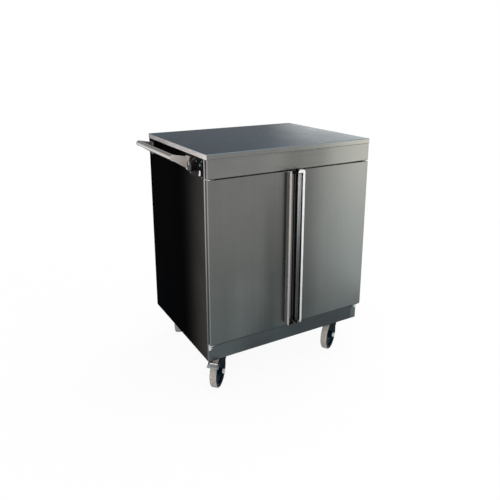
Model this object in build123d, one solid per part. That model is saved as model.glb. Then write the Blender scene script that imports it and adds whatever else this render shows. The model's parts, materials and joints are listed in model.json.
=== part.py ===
from build123d import *
import os

# Plate warmer: a heated, double-skinned steel cabinet on four swivel castors.
# Millimetres. X runs left to right seen from the front, Y front to back, Z up from the floor.

# Overall sizes
WIDTH = 700.0
DEPTH = 558.0
HEIGHT = 900.0
SKIRT_FOOT = 127.0
OVERHANG = 2.0

# Sheet metal
SHEET = 1.2
LINER = 1.0
FOLD_RADIUS = 2.0
SIDE_FOLD_RADIUS = 4.0
OVERCUT = 5.0

# Worktop and fascia
RIM = 18.0
WORKTOP_CORNER = 3.0
WORKTOP_EDGE = 2.0
FASCIA_FOOT = 815.0

# Doors
DOOR_THICKNESS = 19.0
DOOR_CLEARANCE = 4.0
DOOR_FOOT = 202.0
DOOR_TOP = 811.0
MEETING_GAP = 4.0
INNER_SKIN = 1.2
PIVOT_INSET = 8.5
PIN_RADIUS = 4.0
RUNNING_CLEARANCE = 0.05
PIN_BLOCK_WIDTH = 16.0
PIN_BLOCK_HEIGHT = 20.0
GASKET_WIDTH = 9.0
GASKET_THICKNESS = 3.6
GASKET_FOOT_INSET = 2.5
GASKET_TOP_INSET = 5.0
GASKET_FROM_PIVOT = 1.25
GASKET_FREE_END = 50.0

# Door grips: channels that open towards the meeting edges
GRIP_NEAR = 4.0
GRIP_FAR = 33.0
GRIP_LIP = 9.0
GRIP_REACH = 20.0
GRIP_SHEET = 1.5
GRIP_ROUND = 9.0
GRIP_CAP = 11.0
GRIP_FOOT = 208.0
GRIP_RISE = 3.5
GRIP_FASCIA_GAP = 3.0

# Hinge brackets
BRACKET_PLATE = 2.6
BRACKET_WIDTH = 24.0
BRACKET_LEG = 28.0
BRACKET_PLAY = 0.6
BRACKET_SIDE_PLAY = 2.0
BRACKET_NOSE = 8.0

# Door magnets
MAGNET_SIZE = (30.0, 3.6, 16.0)
MAGNET_FROM_CENTRE = 30.0
MAGNET_Z = 796.0

# Carcass and chamber
WALL = 30.0
FRONT_FOLD = 28.0
BACK_FOLD = 20.0
TOP_FOLD = 20.0
SILL_TOP = 214.0
SILL_DEPTH = 24.0
BASE_PAN_Z = 160.0
BASE_PAN_SHEET = 2.0
BOLT_ROOM = 8.0
CHAMBER_FLOOR_Z = 190.0
CEILING_Z = 787.0
CEILING_WOOL = 24.0

# Shelves
RUNNER_HEIGHTS = (405.0, 596.0)
RUNNER_DEPTH = 15.0
RUNNER_HEIGHT = 20.0
RUNNER_SHEET = 1.5
RUNNER_FRONT_GAP = 26.0
RUNNER_BACK_GAP = 8.0
SHELF_ROD = 4.0
SHELF_CROSS_ROD = 3.2
SHELF_CROSS_INSET = 12.0
SHELF_WIRE = 2.0
SHELF_WELD = 1.0
SHELF_WIRES = 25
SHELF_SIDE_GAP = 4.0
SHELF_FRONT_GAP = 34.0
SHELF_BACK_GAP = 14.0

# Heater
ELEMENT_RADIUS = 4.0
ELEMENT_Z = 202.0
ELEMENT_BEND = 38.0
ELEMENT_RUNS = (40.0, 140.0, 240.0)
ELEMENT_FRONT = -190.0
ELEMENT_CROSSING = -200.0
ELEMENT_BACK = 185.0
ELEMENT_TAIL = 268.0
ELEMENT_HOLE = 5.0
COVER_GAP = 0.5
COVER_SLOTS = (9, 6)
COVER_SLOT_LENGTH = 44.0
COVER_SLOT_WIDTH = 9.0
COVER_SLOT_PITCH = (66.0, 68.0)

# Controls on the left side panel, near its front edge
PANEL_THICKNESS = 3.0
PANEL_Y = (-250.0, -146.0)
PANEL_Z = (812.0, 877.0)
PANEL_CORNER = 4.0
PANEL_BORDER = 3.0
KNOB_Y = -186.0
KNOB_Z = 848.0
KNOB_RADIUS = 19.0
KNOB_HEIGHT = 20.0
KNOB_SKIRT_RADIUS = 21.0
KNOB_SKIRT = 4.0
KNOB_FLUTES = 12
KNOB_FLUTE_RADIUS = 3.0
KNOB_FLUTE_LENGTH = 14.0
KNOB_EDGE = 1.5
SPINDLE_RADIUS = 3.0
NECK_RADIUS = 6.0
SPINDLE_LENGTH = 22.0
KNOB_GAP = 0.6
THERMOSTAT_SIZE = (44.0, 46.0, 38.0)
LAMP_Y = -232.0
LAMP_Z = 857.0
LAMP_RADIUS = 6.0
LAMP_RISE = 3.0
LAMP_ROUND = 2.4
LAMP_DEPTH = 24.0
SWITCH_Y = -232.0
SWITCH_Z = 829.0
SWITCH_SIZE = (16.0, 26.0)
SWITCH_BEZEL = 2.0
SWITCH_BEZEL_RISE = 1.5
SWITCH_DEPTH = 22.0
ROCKER_SIZE = (10.0, 17.0)
ROCKER_ROOM = (0.6, 2.2)
ROCKER_REST = 8.0
ROCKER_RISE = 3.4
ROCKER_DISH = 1.4
ROCKER_PIVOT_DEPTH = 2.0
ROCKER_PIN_RADIUS = 1.5
ROCKER_PIN_LENGTH = 13.0

# Sensor bulb and its capillary
CAPILLARY_RADIUS = 1.2
CAPILLARY_BEND = 7.0
CAPILLARY_HOLE = 2.5
CAPILLARY_Z = 830.0
BULB_RADIUS = 4.0
BULB_X = (-262.0, -170.0)
BULB_Y = 234.0
BULB_Z = 774.0
CAPILLARY_DROP_X = -290.0

# Mains entry at the back, in the space above the chamber
GLAND_X = -280.0
GLAND_Z = 845.0
GLAND_BORE = 4.5
GLAND_NUT = 11.0
GLAND_THREAD = 8.0
GLAND_OUTSIDE = 20.8
GLAND_INSIDE = 10.0
GLAND_NUT_LENGTH = 15.0
GLAND_LOCK_NUT = 5.0
TERMINAL_BLOCK_X = (-246.0, -176.0)
TERMINAL_BLOCK_Z = (834.0, 856.0)
TERMINAL_BLOCK_DEPTH = 20.0
TERMINAL_COUNT = 5
TERMINAL_RADIUS = 3.0
TERMINAL_WELL = 8.0

# Push handle on the left side panel
HANDLE_RADIUS = 10.5
HANDLE_WALL = 1.5
HANDLE_REACH = 56.0
HANDLE_Z = 869.0
HANDLE_Y = (-129.0, 242.0)
GUSSET_THICKNESS = 5.0
GUSSET_TOP = 869.0
GUSSET_FOOT = 825.0
NOSE_RADIUS = 11.0
SPIGOT_LENGTH = 14.0
FLANGE_THICKNESS = 4.0
FLANGE_WIDTH = 30.0
FLANGE_MARGIN = 3.0

# Castors
WHEEL_RADIUS = 62.5
TREAD_DEPTH = 6.0
TYRE_WIDTH = 27.0
TYRE_SHOULDER = 5.0
HUB_WIDTH = 24.0
HUB_BOSS_RADIUS = 15.0
HUB_BOSS_WIDTH = 32.0
HUB_RIM = 8.0
HUB_POCKET = 6.0
AXLE_RADIUS = 5.0
AXLE_HEAD_RADIUS = 9.5
AXLE_HEAD = 7.0
TRAIL = 44.0
FORK_INSIDE = 34.0
FORK_SHEET = 3.0
FORK_CROWN = (133.0, 139.0)
FORK_CROWN_RADIUS = 33.0
FORK_FRONT = -28.0
FORK_BACK = 44.0
FORK_SHOULDER_Z = 124.0
FORK_TOE = 14.0
KINGPIN_RADIUS = 6.0
KINGPIN_HEAD_RADIUS = 10.0
KINGPIN_HEAD = 3.0
SWIVEL_PLAY = 0.4
SWIVEL_HEAD_RADIUS = 30.0
PLATE_SIZE = (80.0, 100.0, 4.0)
PLATE_HOLES = (60.0, 80.0)
BOLT_RADIUS = 4.0
BOLT_PLAY = 0.25
BOLT_HEAD_RADIUS = 7.5
BOLT_HEAD = 5.3
NUT_HEIGHT = 6.5
PEDAL_PIVOT = (88.0, 116.0)
PEDAL_WIDTH = 33.0
PEDAL_TREAD_WIDTH = 44.0
PEDAL_PLATE = 4.0
PEDAL_BOSS = 5.0
PEDAL_PIN = 3.0
PEDAL_EAR = 8.0
PEDAL_KNEE = 96.0
PEDAL_TIP = (107.0, 108.0)

# Castor places: insets of the swivel axes, and headings of the trailing wheels in degrees from +X
FRONT_INSET = 80.0
FRONT_SIDE_INSET = 80.0
REAR_INSET = 92.0
REAR_SIDE_INSET = 58.0
FRONT_LEFT_HEADING = 226.0
FRONT_RIGHT_HEADING = 213.0
REAR_LEFT_HEADING = 60.0
REAR_RIGHT_HEADING = 66.0

# Derived planes of the cabinet
FRONT = -DEPTH / 2
BACK = DEPTH / 2
SIDE = WIDTH / 2 - OVERHANG
RIM_FOOT = HEIGHT - RIM
CARCASS_FRONT = FRONT + DOOR_THICKNESS + DOOR_CLEARANCE
CARCASS_BACK = BACK - OVERHANG
DOOR_BACK = FRONT + DOOR_THICKNESS
INNER = SIDE - WALL
CHAMBER_FRONT = CARCASS_FRONT + SHEET
CHAMBER_BACK = CARCASS_BACK - WALL
BASE_PAN_TOP = BASE_PAN_Z + BASE_PAN_SHEET
PIVOT_X = -SIDE + PIVOT_INSET
PIVOT_Y = FRONT + DOOR_THICKNESS / 2
HANDLE_X = -SIDE - HANDLE_REACH
PLATE_FOOT = BASE_PAN_Z - PLATE_SIZE[2]

# Each castor's axis in X and Y, its heading, and whether it has a brake
CASTORS = {
    "front_left": (-SIDE + FRONT_SIDE_INSET, FRONT + FRONT_INSET, FRONT_LEFT_HEADING, True),
    "front_right": (SIDE - FRONT_SIDE_INSET, FRONT + FRONT_INSET, FRONT_RIGHT_HEADING, False),
    "rear_left": (-SIDE + REAR_SIDE_INSET, CARCASS_BACK - REAR_INSET, REAR_LEFT_HEADING, True),
    "rear_right": (SIDE - REAR_SIDE_INSET, CARCASS_BACK - REAR_INSET, REAR_RIGHT_HEADING, False),
}

# The frame's origin is on the floor, under the middle of the outer box, handle included
FRAME_SHIFT = (SIDE + HANDLE_REACH + NOSE_RADIUS - WIDTH / 2) / 2


def block(x, y, z):
    """Box that fills the given X, Y and Z ranges."""
    middle = [(low + high) / 2 for low, high in (x, y, z)]
    size = [abs(high - low) for low, high in (x, y, z)]
    return Pos(*middle) * Box(*size)


def bar(start, end, radius):
    """Round bar between two points."""
    axis = Vector(*end) - Vector(*start)
    plane = Plane(origin=start, z_dir=axis)
    return plane * Cylinder(radius, axis.length, align=(Align.CENTER, Align.CENTER, Align.MIN))


def hexagon(start, end, radius):
    """Hexagonal bar between two points, measured across its corners."""
    axis = Vector(*end) - Vector(*start)
    return extrude(Plane(origin=start, z_dir=axis) * RegularPolygon(radius, 6), axis.length)


def tube_along(points, bend, radius):
    """Round rod along straight runs with rounded corners."""
    path = FilletPolyline(*points, radius=bend)
    section = Plane(origin=path @ 0, z_dir=path % 0) * Circle(radius)
    return sweep(section, path)


def group(shapes):
    """Separate solids that share one node."""
    return Compound([solid for shape in shapes for solid in shape.solids()])


def mirrored(shape):
    """The same shape on the other side of the cabinet's middle plane."""
    return mirror(shape, about=Plane.YZ)


def tray(x, y, z):
    """Folded sheet tray with its open side to the back and rounded front edges."""
    body = block(x, y, z)
    body = fillet(body.faces().sort_by(Axis.Y)[0].edges(), FOLD_RADIUS)
    inside_x = (x[0] + SHEET, x[1] - SHEET)
    inside_z = (z[0] + SHEET, z[1] - SHEET)
    return body - block(inside_x, (y[0] + SHEET, y[1] + OVERCUT), inside_z)


# Worktop, fascia and outer skins


def worktop():
    top = block((-WIDTH / 2, WIDTH / 2), (FRONT, BACK), (RIM_FOOT, HEIGHT))
    top = fillet(top.edges().filter_by(Axis.Z), WORKTOP_CORNER)
    top = fillet(top.faces().sort_by(Axis.Z)[-1].edges(), WORKTOP_EDGE)
    half = WIDTH / 2 - SHEET
    return top - block((-half, half), (FRONT + SHEET, BACK - SHEET), (RIM_FOOT - OVERCUT, HEIGHT - SHEET))


def front_fascia():
    face = tray((-SIDE, SIDE), (FRONT, DOOR_BACK), (FASCIA_FOOT, RIM_FOOT))
    # Only this flange reaches the carcass, so the gap behind the doors runs on behind the fascia.
    flange = block((-INNER, INNER), (DOOR_BACK, CARCASS_FRONT), (RIM_FOOT - SHEET, RIM_FOOT))
    return face + flange


def plain_side_panel():
    z = (SKIRT_FOOT, RIM_FOOT)
    y = (CARCASS_FRONT, CARCASS_BACK)
    skin = block((-SIDE, -SIDE + SHEET), y, z)
    front_fold = block((-SIDE, -SIDE + FRONT_FOLD), (CARCASS_FRONT, CARCASS_FRONT + SHEET), z)
    back_fold = block((-SIDE, -SIDE + BACK_FOLD), (CARCASS_BACK - SHEET, CARCASS_BACK), z)
    top_fold = block((-SIDE, -SIDE + TOP_FOLD), y, (RIM_FOOT - SHEET, RIM_FOOT))
    panel = skin + front_fold + back_fold + top_fold
    inner_corner = Vector(-SIDE + SHEET, CARCASS_FRONT + SHEET, HEIGHT / 2)
    inner_edge = panel.edges().filter_by(Axis.Z).sort_by_distance(inner_corner)[0]
    panel = fillet(inner_edge, SIDE_FOLD_RADIUS - SHEET)
    outer_corner = Vector(-SIDE, CARCASS_FRONT, HEIGHT / 2)
    outer_edge = panel.edges().filter_by(Axis.Z).sort_by_distance(outer_corner)[0]
    return fillet(outer_edge, SIDE_FOLD_RADIUS)


def left_side_panel():
    window_y = (PANEL_Y[0] + PANEL_BORDER, PANEL_Y[1] - PANEL_BORDER)
    window_z = (PANEL_Z[0] + PANEL_BORDER, PANEL_Z[1] - PANEL_BORDER)
    window = block((-SIDE - OVERCUT, -SIDE + SHEET + OVERCUT), window_y, window_z)
    return plain_side_panel() - window


def back_panel():
    skin = block((-SIDE, SIDE), (CARCASS_BACK, CARCASS_BACK + SHEET), (SKIRT_FOOT, RIM_FOOT))
    return skin - gland_axis(GLAND_THREAD)


def gland_axis(radius):
    """Round bar along the mains entry."""
    inside = (GLAND_X, CARCASS_BACK - GLAND_INSIDE, GLAND_Z)
    outside = (GLAND_X, CARCASS_BACK + SHEET + GLAND_OUTSIDE, GLAND_Z)
    return bar(inside, outside, radius)


def front_plinth():
    half = SIDE - FRONT_FOLD
    face = block((-half, half), (CARCASS_FRONT, CARCASS_FRONT + SHEET), (SKIRT_FOOT, SILL_TOP))
    sill = block((-INNER, INNER), (CARCASS_FRONT, CARCASS_FRONT + SILL_DEPTH), (SILL_TOP - SHEET, SILL_TOP))
    return face + sill


def base_pan():
    half = SIDE - SHEET
    pan = block((-half, half), (CHAMBER_FRONT, CARCASS_BACK - SHEET), (BASE_PAN_Z, BASE_PAN_TOP))
    pan = chamfer(pan.edges().filter_by(Axis.Z).sort_by(Axis.Y)[:2], SIDE_FOLD_RADIUS)
    for x, y, _, _ in CASTORS.values():
        pan -= castor_bolt_holes(x, y)
    return pan


# Heated chamber


def chamber_left_wall():
    z = (CHAMBER_FLOOR_Z + LINER, CEILING_Z)
    return block((-INNER - LINER, -INNER), (CHAMBER_FRONT, CHAMBER_BACK), z)


def chamber_back_wall():
    half = INNER + LINER
    z = (CHAMBER_FLOOR_Z + LINER, CEILING_Z)
    wall = block((-half, half), (CHAMBER_BACK, CHAMBER_BACK + LINER), z)
    return wall - element_tail_holes(ELEMENT_HOLE)


def chamber_ceiling():
    half = INNER + LINER
    sheet = block((-half, half), (CHAMBER_FRONT, CHAMBER_BACK + LINER), (CEILING_Z, CEILING_Z + LINER))
    header_half = SIDE - FRONT_FOLD
    header = block((-header_half, header_half), (CARCASS_FRONT, CHAMBER_FRONT), (CEILING_Z, RIM_FOOT))
    return sheet + header - capillary_hole()


def chamber_floor():
    half = INNER + LINER
    z = (CHAMBER_FLOOR_Z, CHAMBER_FLOOR_Z + LINER)
    return block((-half, half), (CHAMBER_FRONT, CHAMBER_BACK + LINER), z)


def insulation_slabs():
    outer = SIDE - SHEET
    lined = INNER + LINER
    floor_z = (BASE_PAN_TOP + BOLT_ROOM, CHAMBER_FLOOR_Z)
    wall_z = (BASE_PAN_TOP + BOLT_ROOM, CEILING_Z)
    wall_y = (CHAMBER_FRONT, CARCASS_BACK - SHEET)
    left = block((-outer, -lined), wall_y, wall_z)
    fold_corner = Vector(-outer, CHAMBER_FRONT, HEIGHT / 2)
    left = chamfer(left.edges().filter_by(Axis.Z).sort_by_distance(fold_corner)[0], SIDE_FOLD_RADIUS)
    back = block((-lined, lined), (CHAMBER_BACK + LINER, CARCASS_BACK - SHEET), wall_z)
    floor = block((-lined, lined), (CHAMBER_FRONT, CHAMBER_BACK + LINER), floor_z)
    ceiling_z = (CEILING_Z + LINER, CEILING_Z + LINER + CEILING_WOOL)
    ceiling = block((-lined, lined), (CHAMBER_FRONT, CHAMBER_BACK + LINER), ceiling_z)
    back -= element_tail_holes(ELEMENT_HOLE)
    ceiling -= capillary_hole()
    return group([left, mirrored(left), back, floor, ceiling])


# Shelves


def shelf_runners():
    y = (CHAMBER_FRONT + RUNNER_FRONT_GAP, CHAMBER_BACK - RUNNER_BACK_GAP)
    runners = []
    for top in RUNNER_HEIGHTS:
        ledge = block((-INNER, -INNER + RUNNER_DEPTH), y, (top - RUNNER_SHEET, top))
        upright = block((-INNER, -INNER + RUNNER_SHEET), y, (top - RUNNER_HEIGHT, top))
        runner = ledge + upright
        runners += [runner, mirrored(runner)]
    return group(runners)


def wire_shelf(top_of_runner):
    """Welded wire shelf that lies on a pair of runners."""
    half = INNER - SHELF_SIDE_GAP - SHELF_ROD
    front = CHAMBER_FRONT + SHELF_FRONT_GAP
    back = CHAMBER_BACK - SHELF_BACK_GAP
    rod_z = top_of_runner + SHELF_ROD
    wire_z = rod_z + SHELF_CROSS_ROD + SHELF_WIRE - SHELF_WELD
    shelf = bar((-half, front, rod_z), (-half, back, rod_z), SHELF_ROD)
    rods = [bar((half, front, rod_z), (half, back, rod_z), SHELF_ROD)]
    for y in (front + SHELF_CROSS_INSET, (front + back) / 2, back - SHELF_CROSS_INSET):
        rods.append(bar((-half, y, rod_z), (half, y, rod_z), SHELF_CROSS_ROD))
    pitch = 2 * half / (SHELF_WIRES + 1)
    for index in range(1, SHELF_WIRES + 1):
        x = -half + index * pitch
        rods.append(bar((x, front, wire_z), (x, back, wire_z), SHELF_WIRE))
    return shelf + rods


# Heater


def heating_element():
    near, middle, far = ELEMENT_RUNS
    half = [
        (near, ELEMENT_TAIL),
        (near, ELEMENT_FRONT),
        (middle, ELEMENT_FRONT),
        (middle, ELEMENT_BACK),
        (far, ELEMENT_BACK),
        (far, ELEMENT_CROSSING),
    ]
    left = [(-x, y, ELEMENT_Z) for x, y in half]
    right = [(x, y, ELEMENT_Z) for x, y in reversed(half)]
    return tube_along(left + right, ELEMENT_BEND, ELEMENT_RADIUS)


def element_tail_holes(radius):
    """Holes where the ends of the element leave the chamber."""
    x = ELEMENT_RUNS[0]
    hole = bar((x, CHAMBER_BACK - OVERCUT, ELEMENT_Z), (x, CARCASS_BACK, ELEMENT_Z), radius)
    return hole + mirrored(hole)


def element_cover():
    half = INNER - COVER_GAP
    y = (CARCASS_FRONT + SILL_DEPTH + COVER_GAP, CHAMBER_BACK - COVER_GAP)
    plate = block((-half, half), y, (SILL_TOP - SHEET, SILL_TOP))
    leg = block((-half, -half + SHEET), y, (CHAMBER_FLOOR_Z + LINER, SILL_TOP))
    slot = extrude(SlotOverall(COVER_SLOT_LENGTH, COVER_SLOT_WIDTH), OVERCUT, both=True)
    middle = Pos(0, (y[0] + y[1]) / 2, SILL_TOP)
    slots = [middle * place * slot for place in GridLocations(*COVER_SLOT_PITCH, *COVER_SLOTS)]
    return plate + leg + mirrored(leg) - slots


# Controls


def control_panel():
    panel = block((-SIDE - PANEL_THICKNESS, -SIDE), PANEL_Y, PANEL_Z)
    panel = fillet(panel.edges().filter_by(Axis.X), PANEL_CORNER)
    inward = -SIDE + OVERCUT
    outward = -SIDE - PANEL_THICKNESS - OVERCUT
    panel -= bar((inward, KNOB_Y, KNOB_Z), (outward, KNOB_Y, KNOB_Z), NECK_RADIUS)
    panel -= bar((inward, LAMP_Y, LAMP_Z), (outward, LAMP_Y, LAMP_Z), LAMP_RADIUS)
    return panel - switch_outline(outward, inward, 0)


def switch_outline(outward, inward, border):
    """Rectangular bar through the rocker switch's place."""
    half_y = SWITCH_SIZE[0] / 2 + border
    half_z = SWITCH_SIZE[1] / 2 + border
    y = (SWITCH_Y - half_y, SWITCH_Y + half_y)
    return block((outward, inward), y, (SWITCH_Z - half_z, SWITCH_Z + half_z))


def thermostat():
    depth, width, height = THERMOSTAT_SIZE
    y = (KNOB_Y - width / 2, KNOB_Y + width / 2)
    z = (KNOB_Z - height / 2, KNOB_Z + height / 2)
    body = block((-SIDE, -SIDE + depth), y, z)
    body = fillet(body.edges().filter_by(Axis.X), PANEL_CORNER)
    neck_end = -SIDE - PANEL_THICKNESS
    body += bar((-SIDE, KNOB_Y, KNOB_Z), (neck_end, KNOB_Y, KNOB_Z), NECK_RADIUS)
    bush_start = (neck_end - OVERCUT, KNOB_Y, KNOB_Z)
    bush_end = (-SIDE + depth / 2, KNOB_Y, KNOB_Z)
    return body - bar(bush_start, bush_end, SPINDLE_RADIUS + RUNNING_CLEARANCE)


def thermostat_knob():
    base = -SIDE - PANEL_THICKNESS - KNOB_GAP
    shoulder = base - KNOB_SKIRT
    crown = base - KNOB_HEIGHT
    grip = bar((shoulder, KNOB_Y, KNOB_Z), (crown, KNOB_Y, KNOB_Z), KNOB_RADIUS)
    grip = chamfer(grip.faces().sort_by(Axis.X)[0].edges(), KNOB_EDGE)
    flute = Cylinder(KNOB_FLUTE_RADIUS, 2 * KNOB_FLUTE_LENGTH)
    face = Plane(origin=(crown, KNOB_Y, KNOB_Z), z_dir=(1, 0, 0))
    places = PolarLocations(KNOB_RADIUS + KNOB_FLUTE_RADIUS / 2, KNOB_FLUTES)
    grip -= [face * place * flute for place in places]
    skirt = bar((base, KNOB_Y, KNOB_Z), (shoulder, KNOB_Y, KNOB_Z), KNOB_SKIRT_RADIUS)
    spindle = bar((base, KNOB_Y, KNOB_Z), (base + SPINDLE_LENGTH, KNOB_Y, KNOB_Z), SPINDLE_RADIUS)
    return grip + skirt + spindle


def indicator_lamp():
    face = -SIDE - PANEL_THICKNESS
    lens = bar((face - LAMP_RISE, LAMP_Y, LAMP_Z), (-SIDE + LAMP_DEPTH, LAMP_Y, LAMP_Z), LAMP_RADIUS)
    return fillet(lens.faces().sort_by(Axis.X)[0].edges(), LAMP_ROUND)


def power_switch():
    face = -SIDE - PANEL_THICKNESS
    rim = face - SWITCH_BEZEL_RISE
    body = switch_outline(face, -SIDE + SWITCH_DEPTH, 0) + switch_outline(rim, face, SWITCH_BEZEL)
    half_y = ROCKER_SIZE[0] / 2 + ROCKER_ROOM[0]
    half_z = ROCKER_SIZE[1] / 2 + ROCKER_ROOM[1]
    well_y = (SWITCH_Y - half_y, SWITCH_Y + half_y)
    well_z = (SWITCH_Z - half_z, SWITCH_Z + half_z)
    body -= block((rim - OVERCUT, -SIDE + SWITCH_DEPTH / 2), well_y, well_z)
    return body - rocker_pin(ROCKER_PIN_RADIUS + RUNNING_CLEARANCE, ROCKER_ROOM[0])


def rocker_pin(radius, extra):
    x = -SIDE - PANEL_THICKNESS + ROCKER_PIVOT_DEPTH
    half = ROCKER_PIN_LENGTH / 2 + extra
    return bar((x, SWITCH_Y - half, SWITCH_Z), (x, SWITCH_Y + half, SWITCH_Z), radius)


def switch_rocker():
    """Dished paddle on its pivot pin, drawn in its tilted rest position."""
    pivot_x = -SIDE - PANEL_THICKNESS + ROCKER_PIVOT_DEPTH
    half = ROCKER_SIZE[1] / 2
    outline = Polyline(
        (-ROCKER_RISE - ROCKER_PIVOT_DEPTH, half),
        (-ROCKER_RISE - ROCKER_PIVOT_DEPTH + ROCKER_DISH, 0),
        (-ROCKER_RISE - ROCKER_PIVOT_DEPTH, -half),
        (ROCKER_PIVOT_DEPTH, -half / 2),
        (ROCKER_PIVOT_DEPTH, half / 2),
        close=True,
    )
    profile = make_face(Plane.XZ * outline)
    paddle = extrude(profile, ROCKER_SIZE[0] / 2, both=True)
    paddle = Pos(pivot_x, SWITCH_Y, SWITCH_Z) * Rot(0, ROCKER_REST, 0) * paddle
    return paddle + rocker_pin(ROCKER_PIN_RADIUS, 0)


def sensor_bulb():
    depth = THERMOSTAT_SIZE[0]
    route = [
        (-SIDE + depth, KNOB_Y, CAPILLARY_Z),
        (CAPILLARY_DROP_X, KNOB_Y, CAPILLARY_Z),
        (CAPILLARY_DROP_X, BULB_Y, CAPILLARY_Z),
        (CAPILLARY_DROP_X, BULB_Y, BULB_Z),
        (BULB_X[0], BULB_Y, BULB_Z),
    ]
    capillary = tube_along(route, CAPILLARY_BEND, CAPILLARY_RADIUS)
    return capillary + bar((BULB_X[0], BULB_Y, BULB_Z), (BULB_X[1], BULB_Y, BULB_Z), BULB_RADIUS)


def capillary_hole():
    low = (CAPILLARY_DROP_X, BULB_Y, CEILING_Z - OVERCUT)
    high = (CAPILLARY_DROP_X, BULB_Y, CEILING_Z + LINER + CEILING_WOOL + OVERCUT)
    return bar(low, high, CAPILLARY_HOLE)


def cable_gland():
    thread = gland_axis(GLAND_THREAD)
    nut_low = (GLAND_X, CARCASS_BACK + SHEET, GLAND_Z)
    nut_high = (GLAND_X, CARCASS_BACK + SHEET + GLAND_NUT_LENGTH, GLAND_Z)
    lock_low = (GLAND_X, CARCASS_BACK - GLAND_LOCK_NUT, GLAND_Z)
    lock_high = (GLAND_X, CARCASS_BACK, GLAND_Z)
    gland = thread + hexagon(nut_low, nut_high, GLAND_NUT) + hexagon(lock_low, lock_high, GLAND_NUT)
    return gland - gland_axis(GLAND_BORE)


def terminal_block():
    y = (CARCASS_BACK - TERMINAL_BLOCK_DEPTH, CARCASS_BACK)
    body = block(TERMINAL_BLOCK_X, y, TERMINAL_BLOCK_Z)
    middle_x = sum(TERMINAL_BLOCK_X) / 2
    middle_z = sum(TERMINAL_BLOCK_Z) / 2
    pitch = (TERMINAL_BLOCK_X[1] - TERMINAL_BLOCK_X[0]) / TERMINAL_COUNT
    for index in range(TERMINAL_COUNT):
        x = middle_x + (index - (TERMINAL_COUNT - 1) / 2) * pitch
        body -= bar((x, y[0] - OVERCUT, middle_z), (x, y[0] + TERMINAL_WELL, middle_z), TERMINAL_RADIUS)
    return body


# Push handle


def push_handle_tube():
    start = (HANDLE_X, HANDLE_Y[0] + GUSSET_THICKNESS, HANDLE_Z)
    end = (HANDLE_X, HANDLE_Y[1] - GUSSET_THICKNESS, HANDLE_Z)
    return bar(start, end, HANDLE_RADIUS) - bar(start, end, HANDLE_RADIUS - HANDLE_WALL)


def push_handle_bracket():
    """Gusset plate that closes the tube's front end, with a spigot in it and a flange on the side."""
    low_y = HANDLE_Y[0]
    high_y = low_y + GUSSET_THICKNESS
    wall_x = -SIDE - FLANGE_THICKNESS / 2
    outline = Polyline(
        (wall_x, GUSSET_FOOT),
        (wall_x, GUSSET_TOP),
        (HANDLE_X, HANDLE_Z + NOSE_RADIUS),
        (HANDLE_X, HANDLE_Z - NOSE_RADIUS),
        close=True,
    )
    gusset = Pos(0, low_y, 0) * extrude(make_face(Plane.XZ * outline), -GUSSET_THICKNESS)
    gusset += bar((HANDLE_X, low_y, HANDLE_Z), (HANDLE_X, high_y, HANDLE_Z), NOSE_RADIUS)
    spigot_radius = HANDLE_RADIUS - HANDLE_WALL - RUNNING_CLEARANCE
    spigot_end = (HANDLE_X, high_y + SPIGOT_LENGTH, HANDLE_Z)
    spigot = bar((HANDLE_X, high_y, HANDLE_Z), spigot_end, spigot_radius)
    middle_y = (low_y + high_y) / 2
    flange_y = (middle_y - FLANGE_WIDTH / 2, middle_y + FLANGE_WIDTH / 2)
    flange_z = (GUSSET_FOOT - FLANGE_MARGIN, GUSSET_TOP + FLANGE_MARGIN)
    flange = block((-SIDE - FLANGE_THICKNESS, -SIDE), flange_y, flange_z)
    flange = fillet(flange.edges().filter_by(Axis.X), PANEL_CORNER)
    return gusset + spigot + flange


def push_handle_brackets():
    front = push_handle_bracket()
    middle = Plane.XZ.offset(-sum(HANDLE_Y) / 2)
    return group([front, mirror(front, about=middle)])


# Doors: the left door is drawn, the right one is its mirror image


def door_outer_skin():
    skin = tray((-SIDE, -MEETING_GAP / 2), (FRONT, DOOR_BACK), (DOOR_FOOT, DOOR_TOP))
    low = (PIVOT_X, PIVOT_Y, DOOR_FOOT - OVERCUT)
    high = (PIVOT_X, PIVOT_Y, DOOR_TOP + OVERCUT)
    return skin - bar(low, high, PIN_RADIUS)


def door_inner_skin():
    x = (-SIDE + SHEET, -MEETING_GAP / 2 - SHEET)
    return block(x, (DOOR_BACK - INNER_SKIN, DOOR_BACK), (DOOR_FOOT + SHEET, DOOR_TOP - SHEET))


def door_hinge_pins():
    x = (-SIDE + SHEET, -SIDE + SHEET + PIN_BLOCK_WIDTH)
    y = (FRONT + SHEET, DOOR_BACK - INNER_SKIN)
    low_block = block(x, y, (DOOR_FOOT + SHEET, DOOR_FOOT + SHEET + PIN_BLOCK_HEIGHT))
    high_block = block(x, y, (DOOR_TOP - SHEET - PIN_BLOCK_HEIGHT, DOOR_TOP - SHEET))
    reach = BRACKET_PLATE + BRACKET_PLAY
    low_pin = bar((PIVOT_X, PIVOT_Y, DOOR_FOOT - reach), (PIVOT_X, PIVOT_Y, DOOR_FOOT + SHEET), PIN_RADIUS)
    high_pin = bar((PIVOT_X, PIVOT_Y, DOOR_TOP - SHEET), (PIVOT_X, PIVOT_Y, DOOR_TOP + reach), PIN_RADIUS)
    return group([low_block + low_pin, high_block + high_pin])


def door_gasket():
    """Rubber strip round the top, hinge side and foot of the door's back."""
    left = PIVOT_X + GASKET_FROM_PIVOT
    right = -GASKET_FREE_END
    foot = DOOR_FOOT + GASKET_FOOT_INSET
    top = DOOR_TOP - GASKET_TOP_INSET
    y = (DOOR_BACK, DOOR_BACK + GASKET_THICKNESS)
    hinge_side = block((left, left + GASKET_WIDTH), y, (foot, top))
    top_strip = block((left, right), y, (top - GASKET_WIDTH, top))
    foot_strip = block((left, right), y, (foot, foot + GASKET_WIDTH))
    return hinge_side + top_strip + foot_strip


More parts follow.
